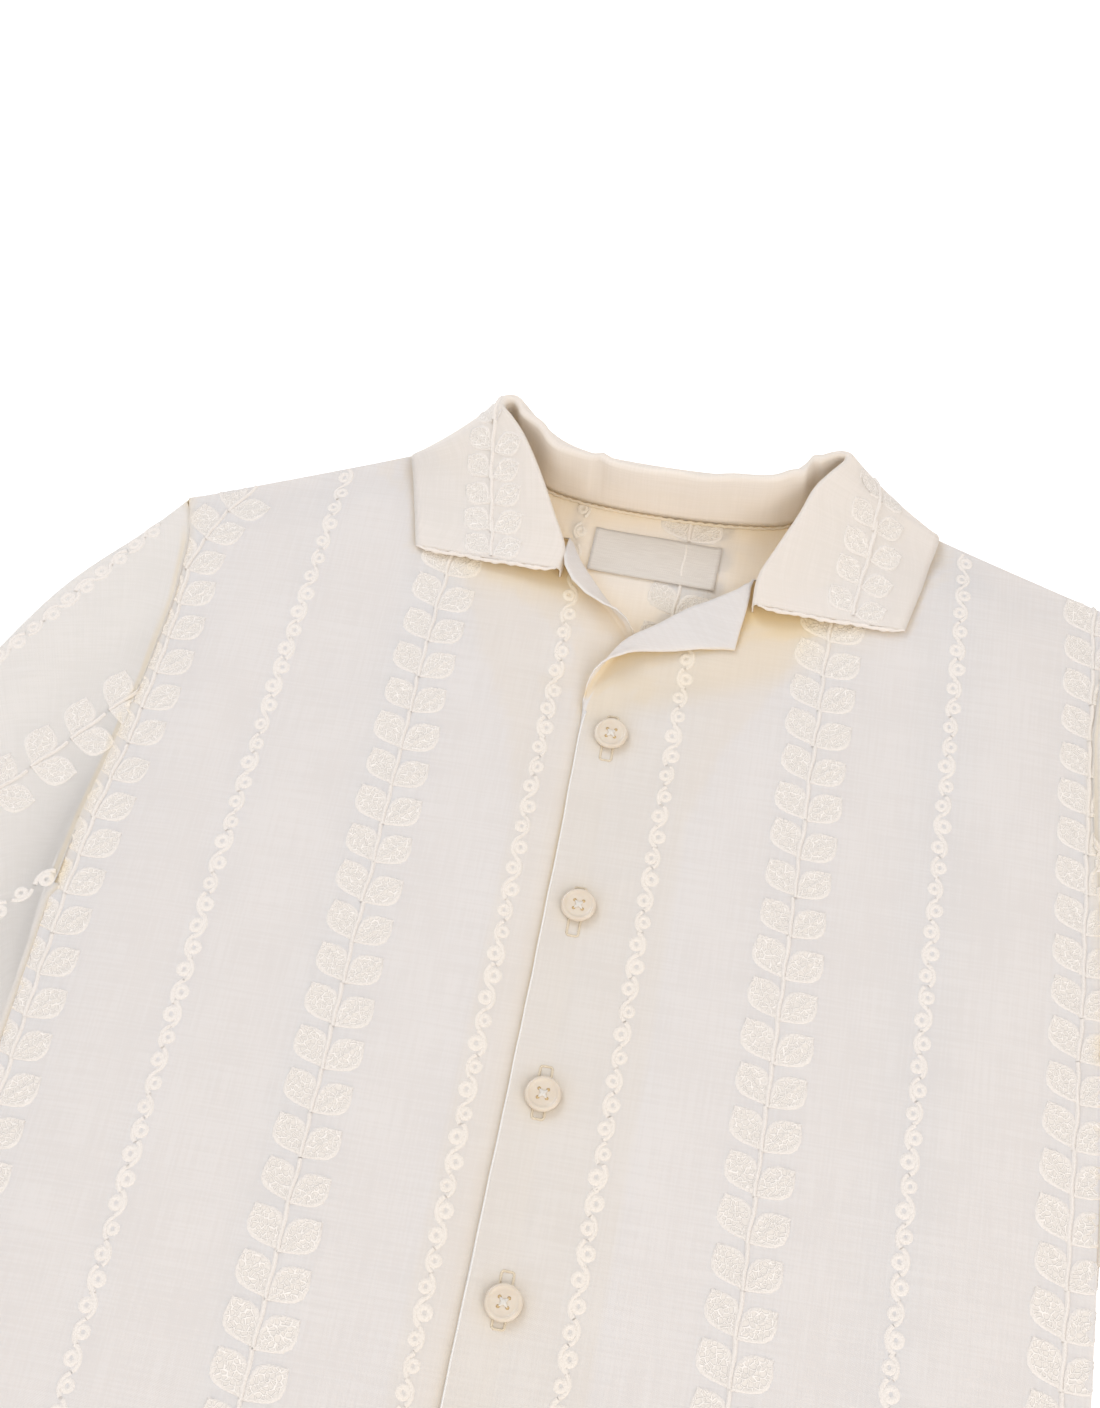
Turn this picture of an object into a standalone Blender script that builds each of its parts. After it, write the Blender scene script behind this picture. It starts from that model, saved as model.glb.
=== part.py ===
"""A child's camp collar shirt, buttoned and laid flat on its back.

Lengths in the tables are millimetres and are measured from the top button, with +X to the
wearer's left, +Y towards the collar and +Z up from the surface that the shirt lies on.
MIDDLE_Y moves the whole shirt so that its box is centred.
"""
import math

import bmesh
import bpy
import numpy as np
from mathutils import Vector

MM = 0.001
NAME = "camp_collar_shirt"

# Driving dimensions
MIDDLE_Y = -128.75         # middle of the whole length, seen from the top button
CLOTH = 1.2                # wall of the body and sleeve cloth
COLLAR_CLOTH = 1.1         # wall of the collar
SEAM_GAP = 0.3             # air between two pieces that are sewn together
HALF_WIDTH = 171.0         # half of the body's width, laid flat
HEM_Y = -385.0
ARMPIT_Y = -85.0
LOFT = 3.0                 # how far the front rises from its edges
FRONT_EDGE_Z = CLOTH * 2 + SEAM_GAP + 0.05
PLACKET_STEP = CLOTH + SEAM_GAP + 0.1
LAPEL_RADIUS = 1.5
ROLL_RADIUS = 1.8          # outer radius of the collar's roll
BUTTON_COUNT = 6
BUTTON_STEP = 64.3
BUTTON_DIAMETER = 11.4
BUTTON_HEIGHT = 2.6
BUTTON_DISH = 0.8
BUTTON_HOLE = 1.7
BUTTON_HOLE_RING = 1.45    # from the button's axis to each hole's axis
LABEL_SIZE = (46.0, 18.6, 1.0)
LABEL_CENTRE = (3.4, 76.4)
LABEL_TURN = math.radians(-1.6)
SLEEVE_CUFF_OUTER = (262.0, -75.0)
SLEEVE_CUFF_INNER = (173.6, -150.0)
SLEEVE_CLOTH = 1.1
SLEEVE_FOLD_RADIUS = 1.9
SLEEVE_LOFT = 2.5
SLEEVE_CAP_BULGE = 5.0
SHOULDER_TIP_Y = {"right": 71.5, "left": 78.5}
SHOULDER_BEND = {"right": (-90.6, 104.8), "left": (102.3, 101.0)}
NECK_POINT = {"right": (-59.4, 113.8), "left": (74.6, 109.8)}

CLOTH_COLOUR = (0.86, 0.80, 0.72, 1.0)
COLLAR_COLOUR = (0.88, 0.82, 0.75, 1.0)
LABEL_COLOUR = (0.80, 0.76, 0.69, 1.0)
BUTTON_COLOUR = (0.88, 0.81, 0.69, 1.0)

# Half width of the body from hem to shoulder: side seam, then the armhole
SIDE = [
    # y, x
    (-385.0, 171.0),
    (-85.0, 171.0),
    (-60.0, 169.4),
    (-30.0, 166.0),
    (0.0, 163.2),
    (30.0, 161.8),
    (55.0, 163.5),
    (72.0, 167.3),
    (79.0, 168.4),
]

# The front that laps over. Each row runs from the front edge, or the roll line, to the side.
FRONT_LEFT = [
    # x_in, y_in, y_out, lapel, turn
    (-12.5, -385.0, -385.0, 0.0, 0.0),
    (-12.5, -230.0, -235.0, 0.0, 0.0),
    (-11.0, -110.0, -130.0, 0.0, 0.0),
    (-10.6, -40.0, -85.0, 0.0, 0.0),
    (-11.0, 2.0, -50.0, 0.0, 0.0),
    (-9.8, 14.0, -32.0, 1.0, 15.0),
    (-7.2, 22.0, -19.0, 4.0, 70.0),
    (-3.5, 30.0, -7.0, 7.0, 140.0),
    (1.0, 37.0, 4.0, 9.6, 178.0),
    (10.0, 44.0, 15.0, 14.5, 186.0),
    (19.0, 52.0, 27.0, 20.0, 187.0),
    (26.0, 56.5, 35.0, 23.3, 187.0),
    (29.5, 59.0, 40.0, 17.5, 187.0),
    (35.0, 63.0, 47.0, 9.6, 183.0),
    (38.0, 66.0, 52.0, 5.0, 180.0),
    (43.0, 72.0, 57.0, 0.0, 0.0),
    (50.0, 83.0, 63.0, 0.0, 0.0),
    (59.0, 96.5, 69.0, 0.0, 0.0),
    (68.5, 104.8, 74.5, 0.0, 0.0),
    (74.6, 109.8, 78.5, 0.0, 0.0),
]

# The front underneath, read the same way
FRONT_RIGHT = [
    # x_in, y_in, y_out, lapel, turn
    (10.0, -385.0, -385.0, 0.0, 0.0),
    (10.0, -230.0, -235.0, 0.0, 0.0),
    (11.0, -110.0, -130.0, 0.0, 0.0),
    (11.0, -40.0, -85.0, 0.0, 0.0),
    (11.0, 2.0, -50.0, 0.0, 0.0),
    (10.0, 22.0, -27.0, 0.0, 0.0),
    (6.5, 31.0, -15.0, 0.0, 0.0),
    (1.0, 37.0, -5.0, 1.0, 5.0),
    (-4.0, 43.0, 5.0, 5.5, 60.0),
    (-9.0, 48.5, 15.0, 9.0, 100.0),
    (-13.5, 53.5, 24.0, 11.0, 113.0),
    (-18.0, 59.0, 32.0, 12.0, 116.0),
    (-22.0, 64.0, 40.0, 10.5, 116.0),
    (-25.3, 69.0, 47.0, 7.0, 112.0),
    (-27.3, 73.0, 52.0, 4.0, 105.0),
    (-30.5, 77.0, 56.0, 0.0, 0.0),
    (-37.5, 87.0, 60.0, 0.0, 0.0),
    (-45.5, 99.0, 64.0, 0.0, 0.0),
    (-53.5, 108.6, 68.0, 0.0, 0.0),
    (-59.4, 113.8, 71.5, 0.0, 0.0),
]

# Soft ridges (height above nought) and troughs (below) on the fronts
FRONT_FOLDS = [
    # x0, y0, x1, y1, height, half_width
    (4.0, 18.0, 60.0, 42.0, -0.9, 9.0),
    (-12.0, 12.0, -62.0, 50.0, -1.0, 9.0),
    (-80.0, 56.0, -134.0, -44.0, -1.1, 17.0),
    (-52.0, 40.0, -44.0, -60.0, 0.5, 16.0),
    (92.0, 52.0, 140.0, -30.0, -0.8, 18.0),
    (60.0, 20.0, 66.0, -90.0, 0.5, 18.0),
    (-150.0, 40.0, -132.0, -90.0, 0.5, 12.0),
    (150.0, 34.0, 136.0, -86.0, 0.5, 12.0),
    (-40.0, -130.0, -74.0, -330.0, -1.0, 20.0),
    (44.0, -150.0, 60.0, -360.0, -0.9, 20.0),
    (118.0, -120.0, 126.0, -300.0, 0.5, 18.0),
    (-124.0, -150.0, -112.0, -350.0, 0.5, 18.0),
]

# Soft folds across each sleeve, from the armhole towards the cuff
SLEEVE_FOLDS = [
    # along0, across0, along1, across1, height, half_width
    (0.05, 0.30, 0.75, 0.22, -0.9, 0.07),
    (0.02, 0.62, 0.90, 0.50, -0.8, 0.08),
    (0.10, 0.42, 0.60, 0.36, 0.6, 0.06),
    (0.25, 0.84, 0.95, 0.74, -0.7, 0.07),
]

# The collar from its right end, round the back of the neck, to its left end.
# seam: foot of the stand; fold: inner edge of the roll; edge: outer edge of the fall.
# on_front is 1 where the foot stands on a front panel and 0 where it stands on the back.
COLLAR = [
    # seam_x, seam_y, on_front, fold_x, fold_y, top_z, edge_x, edge_y, edge_z
    (-27.9, 59.8, 1.0, -27.7, 59.8, 11.5, -81.0, 63.6, 7.3),
    (-27.9, 68.8, 1.0, -27.7, 68.6, 14.0, -83.5, 74.0, 7.2),
    (-34.2, 80.0, 1.0, -33.5, 79.6, 18.0, -86.0, 84.0, 7.1),
    (-41.6, 92.2, 1.0, -40.7, 92.6, 23.0, -88.5, 94.0, 6.8),
    (-49.6, 103.4, 1.0, -48.2, 104.6, 27.5, -90.2, 99.5, 6.4),
    (-56.2, 110.6, 1.0, -53.8, 111.8, 29.6, -90.8, 103.4, 5.6),
    (-59.8, 114.1, 1.0, -56.9, 115.2, 30.0, -87.5, 108.4, 3.6),
    (-61.3, 116.6, 0.0, -57.8, 116.9, 30.0, -79.5, 117.0, 2.2),
    (-60.9, 118.6, 0.0, -57.2, 118.3, 30.0, -69.0, 124.6, 1.9),
    (-58.8, 119.2, 0.0, -55.6, 118.4, 29.9, -58.0, 127.5, 1.8),
    (-56.2, 117.4, 0.0, -53.8, 117.0, 29.6, -48.6, 126.0, 1.8),
    (-51.0, 110.8, 0.0, -49.6, 112.6, 28.4, -41.0, 123.0, 1.8),
    (-41.0, 100.6, 0.0, -41.0, 104.6, 26.8, -31.5, 120.0, 1.8),
    (-28.0, 97.0, 0.0, -28.0, 99.8, 26.0, -21.5, 118.2, 1.8),
    (-12.0, 95.4, 0.0, -12.0, 97.8, 26.0, -8.5, 117.4, 1.8),
    (4.0, 95.0, 0.0, 4.0, 97.4, 26.0, 4.0, 117.2, 1.8),
    (19.0, 95.3, 0.0, 19.0, 97.7, 26.0, 16.5, 117.4, 1.8),
    (34.0, 96.4, 0.0, 34.0, 99.4, 26.3, 30.0, 118.2, 1.8),
    (47.6, 99.0, 0.0, 47.6, 102.8, 27.0, 40.5, 119.6, 1.8),
    (58.6, 106.6, 0.0, 57.4, 109.4, 28.5, 50.5, 121.8, 1.8),
    (67.2, 113.4, 0.0, 65.2, 114.0, 29.6, 60.0, 123.4, 1.8),
    (71.0, 116.0, 0.0, 68.4, 115.8, 30.0, 69.0, 124.0, 1.8),
    (74.6, 116.6, 0.0, 71.0, 116.2, 30.0, 79.5, 121.0, 1.9),
    (76.6, 114.4, 0.0, 72.8, 114.8, 30.0, 90.0, 113.2, 2.2),
    (75.0, 110.2, 1.0, 72.2, 112.6, 30.0, 98.6, 105.6, 3.6),
    (70.2, 105.6, 1.0, 67.8, 107.6, 29.4, 102.4, 101.0, 5.6),
    (63.4, 99.2, 1.0, 61.4, 101.0, 27.2, 101.8, 94.6, 6.4),
    (54.8, 88.4, 1.0, 54.0, 91.0, 23.2, 100.0, 86.4, 6.8),
    (47.2, 77.8, 1.0, 46.6, 78.2, 18.5, 98.4, 77.4, 7.1),
    (40.8, 68.0, 1.0, 40.6, 67.8, 14.5, 96.2, 68.0, 7.2),
    (40.4, 57.2, 1.0, 40.2, 57.2, 11.5, 94.0, 58.6, 7.3),
]

ROWS_PER_STEP = 2
FRONT_COLUMNS = 11
LAPEL_COLUMNS = 7
SLEEVE_RINGS = 11
SLEEVE_ACROSS = 8
FOLD_STEPS = 3             # points round each folded edge of a sleeve
COLLAR_STAND_STEPS = 3
COLLAR_ROLL_STEPS = 4
COLLAR_FALL_STEPS = 4


def clear_scene():
    for thing in list(bpy.data.objects):
        bpy.data.objects.remove(thing, do_unlink=True)


def make_collection(name):
    collection = bpy.data.collections.new(name)
    bpy.context.scene.collection.children.link(collection)
    return collection


def make_material(name, colour, roughness):
    material = bpy.data.materials.new(name)
    material.use_nodes = True
    shader = material.node_tree.nodes["Principled BSDF"]
    shader.inputs["Base Color"].default_value = colour
    shader.inputs["Roughness"].default_value = roughness
    shader.inputs["Metallic"].default_value = 0.0
    return material


def ease(value):
    """Smooth step from 0 to 1."""
    value = min(1.0, max(0.0, value))
    return value * value * (3.0 - 2.0 * value)


def side_x(y):
    return float(np.interp(y, [row[0] for row in SIDE], [row[1] for row in SIDE]))


def shoulder_tip(wearer_side):
    y = SHOULDER_TIP_Y[wearer_side]
    return (side_x(y) if wearer_side == "left" else -side_x(y), y)


def along(table, position):
    """One table row read at a fractional position, straight between its rows."""
    first = min(int(position), len(table) - 2)
    share = position - first
    return [a + (b - a) * share for a, b in zip(table[first], table[first + 1])]


def smooth_along(table, position):
    """One table row read at a fractional position, on a curve through its rows."""
    last = len(table) - 1
    first = min(int(position), last - 1)
    share = position - first
    before = table[max(first - 1, 0)]
    start = table[first]
    end = table[first + 1]
    after = table[min(first + 2, last)]
    row = []
    for a, b, c, d in zip(before, start, end, after):
        slope_in = (c - a) / 2.0
        slope_out = (d - b) / 2.0
        cube = 2.0 * b - 2.0 * c + slope_in + slope_out
        square = -3.0 * b + 3.0 * c - 2.0 * slope_in - slope_out
        row.append(((cube * share + square) * share + slope_in) * share + b)
    return row


def fold_height(x, y, folds):
    """Sum of the soft folds at one place: each fades out at both ends and to its sides."""
    total = 0.0
    for x0, y0, x1, y1, height, half_width in folds:
        run_x = x1 - x0
        run_y = y1 - y0
        length = math.hypot(run_x, run_y)
        share = ((x - x0) * run_x + (y - y0) * run_y) / length**2
        away = abs((x - x0) * run_y - (y - y0) * run_x) / length
        ends = ease((share + 0.25) / 0.5) * ease((1.25 - share) / 0.5)
        total += height * ends * math.exp(-(away / half_width) ** 2)
    return total


def shoulder_y(x):
    """Height of the shoulder line above one place."""
    wearer_side = "left" if x > 0.0 else "right"
    line = [NECK_POINT[wearer_side], SHOULDER_BEND[wearer_side], shoulder_tip(wearer_side)]
    return float(np.interp(abs(x), [abs(point[0]) for point in line], [point[1] for point in line]))


def front_z(x, y):
    """Outer face of the closed front above the surface."""
    from_side = ease((side_x(y) - abs(x)) / 34.0)
    from_shoulder = ease((shoulder_y(x) - y) / 26.0)
    near_neck = math.exp(-((abs(x - 6.0) - 62.0) / 34.0) ** 2)
    from_shoulder = max(from_shoulder, 0.55 * near_neck)
    from_hem = 0.75 + 0.25 * ease((y - HEM_Y) / 60.0)
    rise = LOFT * from_side * from_shoulder * from_hem
    return FRONT_EDGE_Z + rise + fold_height(x, y, FRONT_FOLDS) * from_side * from_shoulder


def over_edge_x(y):
    """Front edge of the front that laps over."""
    rows = FRONT_LEFT
    return float(np.interp(y, [row[1] for row in rows], [row[0] for row in rows]))


def under_z(x, y):
    """Outer face of the front underneath, which dips below the other near the placket."""
    reach = (x - over_edge_x(y) + 24.0) / 20.0
    return front_z(x, y) - PLACKET_STEP * ease(reach)


def place(x, y, z):
    """Point in metres in the part's own frame."""
    return Vector((x, y - MIDDLE_Y, z)) * MM


def mesh_object(name, collection, material, vertices, faces):
    mesh = bpy.data.meshes.new(name)
    mesh.from_pydata(vertices, [], faces)
    mesh.validate()
    mesh.materials.append(material)
    thing = bpy.data.objects.new(name, mesh)
    collection.objects.link(thing)
    return thing


def thicken(thing, thickness, even=True):
    """Wall behind the modelled face."""
    wall = thing.modifiers.new("wall", "SOLIDIFY")
    wall.thickness = thickness * MM
    wall.offset = -1.0
    wall.use_even_offset = even
    wall.use_quality_normals = True
    thing.data.shade_smooth()
    thing.data.set_sharp_from_angle(angle=math.radians(50.0))


def table_positions(table, per_step):
    count = (len(table) - 1) * per_step
    return [index / per_step for index in range(count + 1)]


def lapel_point(base, outward, width, radius, turn):
    """Point of the turned-back cloth at a distance from the roll line, in section."""
    curl = min(width / radius, turn)
    straight = max(0.0, width - radius * turn)
    reach = radius * math.sin(curl) + straight * math.cos(turn)
    rise = radius * (1.0 - math.cos(curl)) + straight * math.sin(turn)
    return (base[0] + outward[0] * reach, base[1] + outward[1] * reach, base[2] + rise)


def make_front(name, collection, material, table, side, height):
    """Front panel with its lapel, which is the same cloth turned out at the roll line."""
    long_rows = 3
    positions = []
    for step in range(len(table) - 1):
        tall = abs(table[step + 1][2] - table[step][2]) > 60.0
        parts = long_rows * 3 if tall else ROWS_PER_STEP
        positions += [step + index / parts for index in range(parts)]
    positions.append(float(len(table) - 1))

    vertices = []
    inner = []
    lapels = []
    for position in positions:
        x_in, y_in, y_out, width, turn = along(table, position)
        x_out = side * side_x(y_out)
        inner.append((x_in, y_in, width, turn))
        near_top = ease((position - len(table) + 5.0) / 4.0)
        for column in range(FRONT_COLUMNS + 1):
            share = column / FRONT_COLUMNS
            x = x_in + (x_out - x_in) * share
            y = y_in + (y_out - y_in) * share
            chord_y = table[-1][1] + (table[-1][2] - table[-1][1]) * share
            y += (shoulder_y(x) - chord_y) * near_top if 0.0 < share < 1.0 else 0.0
            vertices.append(place(x, y, height(x, y)))

    def cell(row, column):
        return row * (FRONT_COLUMNS + 1) + column

    faces = []
    for row in range(len(positions) - 1):
        for column in range(FRONT_COLUMNS):
            face = [cell(row, column), cell(row, column + 1)]
            face += [cell(row + 1, column + 1), cell(row + 1, column)]
            faces.append(face if side > 0 else face[::-1])

    for row, (x, y, width, turn) in enumerate(inner):
        if width < 0.9:
            lapels.append(None)
            continue
        before = inner[max(row - 1, 0)]
        after = inner[min(row + 1, len(inner) - 1)]
        run = Vector((after[0] - before[0], after[1] - before[1])).normalized()
        outward = (-run.y * side, run.x * side)
        base = (x, y, height(x, y))
        line = [cell(row, 0)]
        for column in range(1, LAPEL_COLUMNS + 1):
            distance = width * column / LAPEL_COLUMNS
            if width > LAPEL_RADIUS * math.pi * 1.6:
                curl_columns = LAPEL_COLUMNS - 3
                curl = LAPEL_RADIUS * math.radians(turn)
                if column <= curl_columns:
                    distance = curl * column / curl_columns
                else:
                    distance = curl + (width - curl) * (column - curl_columns) / 3.0
            point = lapel_point(base, outward, distance, LAPEL_RADIUS, math.radians(turn))
            line.append(len(vertices))
            vertices.append(place(*point))
        lapels.append(line)

    for lower, upper in zip(lapels, lapels[1:]):
        if lower is None or upper is None:
            continue
        for column in range(LAPEL_COLUMNS):
            face = [lower[column + 1], lower[column], upper[column], upper[column + 1]]
            faces.append(face if side > 0 else face[::-1])

    front = mesh_object(name, collection, material, vertices, faces)
    thicken(front, CLOTH)
    return front


def back_outline():
    """Outline of the back, once round from the right-hand hem corner."""
    right_tip = shoulder_tip("right")
    left_tip = shoulder_tip("left")
    points = [(-HALF_WIDTH, HEM_Y)]
    points += [(-side_x(y), y) for y in np.linspace(ARMPIT_Y, right_tip[1], 16)[:-1]]
    points += [right_tip, SHOULDER_BEND["right"], NECK_POINT["right"]]
    neck = [row for row in COLLAR if row[2] < 0.5]
    points += [(row[0], row[1] + CLOTH) for row in neck]
    points += [NECK_POINT["left"], SHOULDER_BEND["left"], left_tip]
    points += [(side_x(y), y) for y in np.linspace(left_tip[1], ARMPIT_Y, 16)[1:]]
    points += [(HALF_WIDTH, HEM_Y)]
    return points


def flat_piece(name, collection, material, outline, thickness):
    """Flat cloth cut to an outline, lying on the surface."""
    curve = bpy.data.curves.new(name, "CURVE")
    curve.dimensions = "2D"
    curve.fill_mode = "BOTH"
    curve.extrude = thickness * MM / 2.0
    spline = curve.splines.new("POLY")
    spline.points.add(len(outline) - 1)
    for point, (x, y) in zip(spline.points, outline):
        point.co = (x * MM, (y - MIDDLE_Y) * MM, 0.0, 1.0)
    spline.use_cyclic_u = True
    curve.materials.append(material)
    piece = bpy.data.objects.new(name, curve)
    piece.location.z = thickness * MM / 2.0
    collection.objects.link(piece)
    return piece


def sleeve_outline(side, across):
    """Armhole end and cuff end of the sleeve at one place from top (0) to underarm (1)."""
    tip = shoulder_tip("left" if side > 0 else "right")
    y = tip[1] + (ARMPIT_Y - tip[1]) * across
    start = Vector((side_x(y) + SEAM_GAP + 0.2, y))
    end = Vector(SLEEVE_CUFF_OUTER).lerp(Vector(SLEEVE_CUFF_INNER), across)
    return start, end


def sleeve_top_z(point, square_to_top, top_corner, step, across):
    """Outer face of the sleeve's upper layer, level with the folds along both its edges."""
    if across in (0.0, 1.0):
        return 2.0 * SLEEVE_FOLD_RADIUS
    from_top = (point - top_corner).dot(square_to_top) - SLEEVE_FOLD_RADIUS
    from_under = point.x - HALF_WIDTH - 2.0 * SLEEVE_FOLD_RADIUS
    centre = ease(from_top / 32.0) * max(ease(from_under / 32.0), ease(0.7 - across))
    cuff = 1.0 - 0.25 * ease((step - 0.8) / 0.2)
    armhole = 0.35 + 0.65 * ease(step / 0.2)
    folds = fold_height(step, across, SLEEVE_FOLDS) * ease(step / 0.15)
    return 2.0 * SLEEVE_FOLD_RADIUS + (SLEEVE_LOFT * cuff * armhole + folds) * centre


def sleeve_ring(side, step):
    """One closed section: lower layer, underarm fold, upper layer, top fold."""
    radius = SLEEVE_FOLD_RADIUS
    down = Vector((0.0, -1.0))
    top_line = Vector(SLEEVE_CUFF_OUTER) - sleeve_outline(side, 0.0)[0]
    square_to_top = Vector((top_line.y, -top_line.x)).normalized()
    into_top = down.lerp(square_to_top, ease(step / 0.3)).normalized()
    into_under = Vector((1.0, 0.0))
    bulge = SLEEVE_CAP_BULGE * math.sin(math.pi * min(1.0, step * 1.6)) ** 2

    line = []
    for index in range(SLEEVE_ACROSS + 1):
        across = index / SLEEVE_ACROSS
        start, end = sleeve_outline(side, across)
        point = start.lerp(end, step) - square_to_top * bulge * (1.0 - across) ** 3
        if index == 0:
            point += into_top * radius
            point.x += radius * 0.6 * (1.0 - ease(step / 0.2))
        point += into_under * radius * ease((across - 0.5) / 0.45)
        line.append(point)

    turns = [math.pi * index / (FOLD_STEPS + 1) for index in range(1, FOLD_STEPS + 1)]
    ring = [(point.x, point.y, 0.0) for point in line]
    for turn in turns:
        point = line[-1] - into_under * radius * math.sin(turn)
        ring.append((point.x, point.y, radius * (1.0 - math.cos(turn))))
    for index in range(SLEEVE_ACROSS, -1, -1):
        point = line[index]
        across = index / SLEEVE_ACROSS
        top_z = sleeve_top_z(point, square_to_top, sleeve_outline(side, 0.0)[0], step, across)
        ring.append((point.x, point.y, top_z))
    for turn in turns:
        point = line[0] - into_top * radius * math.sin(turn)
        ring.append((point.x, point.y, radius * (1.0 + math.cos(turn))))
    return [place(side * x, y, z) for x, y, z in ring]


def make_sleeve(name, collection, material, side):
    """Flattened tube, open at the armhole and the cuff, its lower layer flat."""
    rings = [sleeve_ring(side, ring / SLEEVE_RINGS) for ring in range(SLEEVE_RINGS + 1)]
    around = len(rings[0])
    vertices = [point for ring in rings for point in ring]
    faces = []
    for ring in range(SLEEVE_RINGS):
        for index in range(around):
            following = (index + 1) % around
            face = [ring * around + index, ring * around + following]
            face += [(ring + 1) * around + following, (ring + 1) * around + index]
            faces.append(face[::-1] if side > 0 else face)
    sleeve = mesh_object(name, collection, material, vertices, faces)
    thicken(sleeve, SLEEVE_CLOTH, even=False)
    return sleeve


def tangent_angle(point, radius, sign):
    """Where a line from a point in the section meets the roll's circle at its origin."""
    distance = math.hypot(point[0], point[1])
    heading = math.atan2(point[1], point[0])
    if sign < 0 and heading < 0.0:
        heading += 2.0 * math.pi
    return heading + sign * math.acos(min(1.0, radius / distance))


def collar_section(row):
    """Points of one collar section from the seam, over the roll, to the outer edge."""
    seam_x, seam_y, on_front, fold_x, fold_y, top_z, edge_x, edge_y, edge_z = row
    foot_z = SEAM_GAP + CLOTH
    if on_front > 0.0:
        foot_z += (front_z(seam_x, seam_y) + SEAM_GAP + 0.1 - foot_z) * min(1.0, on_front)
    seam = Vector((seam_x, seam_y, foot_z))
    fold = Vector((fold_x, fold_y, top_z - ROLL_RADIUS))
    edge = Vector((edge_x, edge_y, edge_z))
    outward = Vector((edge_x - fold_x, edge_y - fold_y, 0.0)).normalized()
    centre = fold + outward * ROLL_RADIUS

    def in_section(point):
        offset = point - centre
        return offset.dot(outward), offset.z

    start = tangent_angle(in_section(seam), ROLL_RADIUS, -1)
    start = min(start, math.radians(200.0))
    end = tangent_angle(in_section(edge), ROLL_RADIUS, 1)
    points = []
    arc = []
    for index in range(COLLAR_ROLL_STEPS + 1):
        angle = start + (end - start) * index / COLLAR_ROLL_STEPS
        rim = outward * math.cos(angle) + Vector((0.0, 0.0, math.sin(angle)))
        arc.append(centre + rim * ROLL_RADIUS)
    for index in range(COLLAR_STAND_STEPS):
        points.append(seam.lerp(arc[0], index / COLLAR_STAND_STEPS))
    points += arc
    for index in range(1, COLLAR_FALL_STEPS + 1):
        points.append(arc[-1].lerp(edge, index / COLLAR_FALL_STEPS))
    return points


def make_collar(name, collection, material):
    sections = [collar_section(smooth_along(COLLAR, position))
                for position in table_positions(COLLAR, ROWS_PER_STEP)]
    width = len(sections[0])
    vertices = [place(*point) for section in sections for point in section]
    faces = []
    for row in range(len(sections) - 1):
        for column in range(width - 1):
            near = row * width + column
            far = near + width
            faces.append([near, far, far + 1, near + 1])
    collar = mesh_object(name, collection, material, vertices, faces)
    thicken(collar, COLLAR_CLOTH)
    return collar


def make_label(name, collection, material):
    """Small flat label that lies on the inside of the back."""
    width, height, thickness = LABEL_SIZE
    bpy.ops.mesh.primitive_cube_add(size=1.0)
    label = bpy.context.object
    label.name = name
    label.data.name = name
    for vertex in label.data.vertices:
        vertex.co.x *= width * MM
        vertex.co.y *= height * MM
        vertex.co.z *= thickness * MM
    centre_z = CLOTH + SEAM_GAP + thickness / 2.0
    label.location = place(LABEL_CENTRE[0], LABEL_CENTRE[1], centre_z)
    label.rotation_euler.z = LABEL_TURN
    label.data.materials.append(material)
    for holder in list(label.users_collection):
        holder.objects.unlink(label)
    collection.objects.link(label)
    return label


def button_mesh(name, material):
    """Turned button with a rounded rim and a dished face, before its holes."""
    radius = BUTTON_DIAMETER / 2.0
    profile = [
        # distance from the axis, height
        (0.0, 0.0),
        (radius - 1.1, 0.0),
        (radius - 0.2, 0.5),
        (radius, 1.4),
        (radius - 0.5, BUTTON_HEIGHT - 0.2),
        (radius - 1.2, BUTTON_HEIGHT),
        (radius - 1.9, BUTTON_HEIGHT - 0.3),
        (radius - 2.4, BUTTON_HEIGHT - BUTTON_DISH),
        (0.0, BUTTON_HEIGHT - BUTTON_DISH),
    ]
    mesh = bpy.data.meshes.new(name)
    points = [Vector((x, 0.0, z)) * MM for x, z in profile[::-1]]
    mesh.from_pydata(points, [(i, i + 1) for i in range(len(points) - 1)], [])
    mesh.materials.append(material)
    return mesh


def make_hole_cutter(collection):
    """Four round pins that pass through the button."""
    grid = bmesh.new()
    for index in range(4):
        angle = math.radians(45.0 + 90.0 * index)
        ring = BUTTON_HOLE_RING * MM
        pin = bmesh.ops.create_cone(
            grid, cap_ends=True, segments=6, radius1=BUTTON_HOLE * MM / 2.0,
            radius2=BUTTON_HOLE * MM / 2.0, depth=BUTTON_HEIGHT * 3.0 * MM)
        shift = Vector((math.cos(angle) * ring, math.sin(angle) * ring, 0.0))
        bmesh.ops.translate(grid, verts=pin["verts"], vec=shift)
    mesh = bpy.data.meshes.new("button_holes")
    grid.to_mesh(mesh)
    grid.free()
    cutter = bpy.data.objects.new("button_holes", mesh)
    cutter.hide_render = True
    cutter.display_type = "WIRE"
    collection.objects.link(cutter)
    return cutter


def make_buttons(collection, cutters, material):
    mesh = button_mesh("button", material)
    for index in range(BUTTON_COUNT):
        y = -BUTTON_STEP * index
        level = max(front_z(dx, y + dy) for dx in (-5.0, 0.0, 5.0) for dy in (-5.0, 0.0, 5.0))
        button = bpy.data.objects.new("button_%d" % (index + 1), mesh)
        collection.objects.link(button)
        button.location = place(0.0, y, level + SEAM_GAP)
        turned = button.modifiers.new("turned", "SCREW")
        turned.steps = 16
        turned.render_steps = 16
        turned.use_merge_vertices = True
        turned.merge_threshold = 0.00001
        turned.use_smooth_shade = True
        cutter = make_hole_cutter(cutters)
        cutter.name = "button_%d_holes" % (index + 1)
        cutter.location = button.location
        holes = button.modifiers.new("holes", "BOOLEAN")
        holes.operation = "DIFFERENCE"
        holes.solver = "EXACT"
        holes.object = cutter


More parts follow.
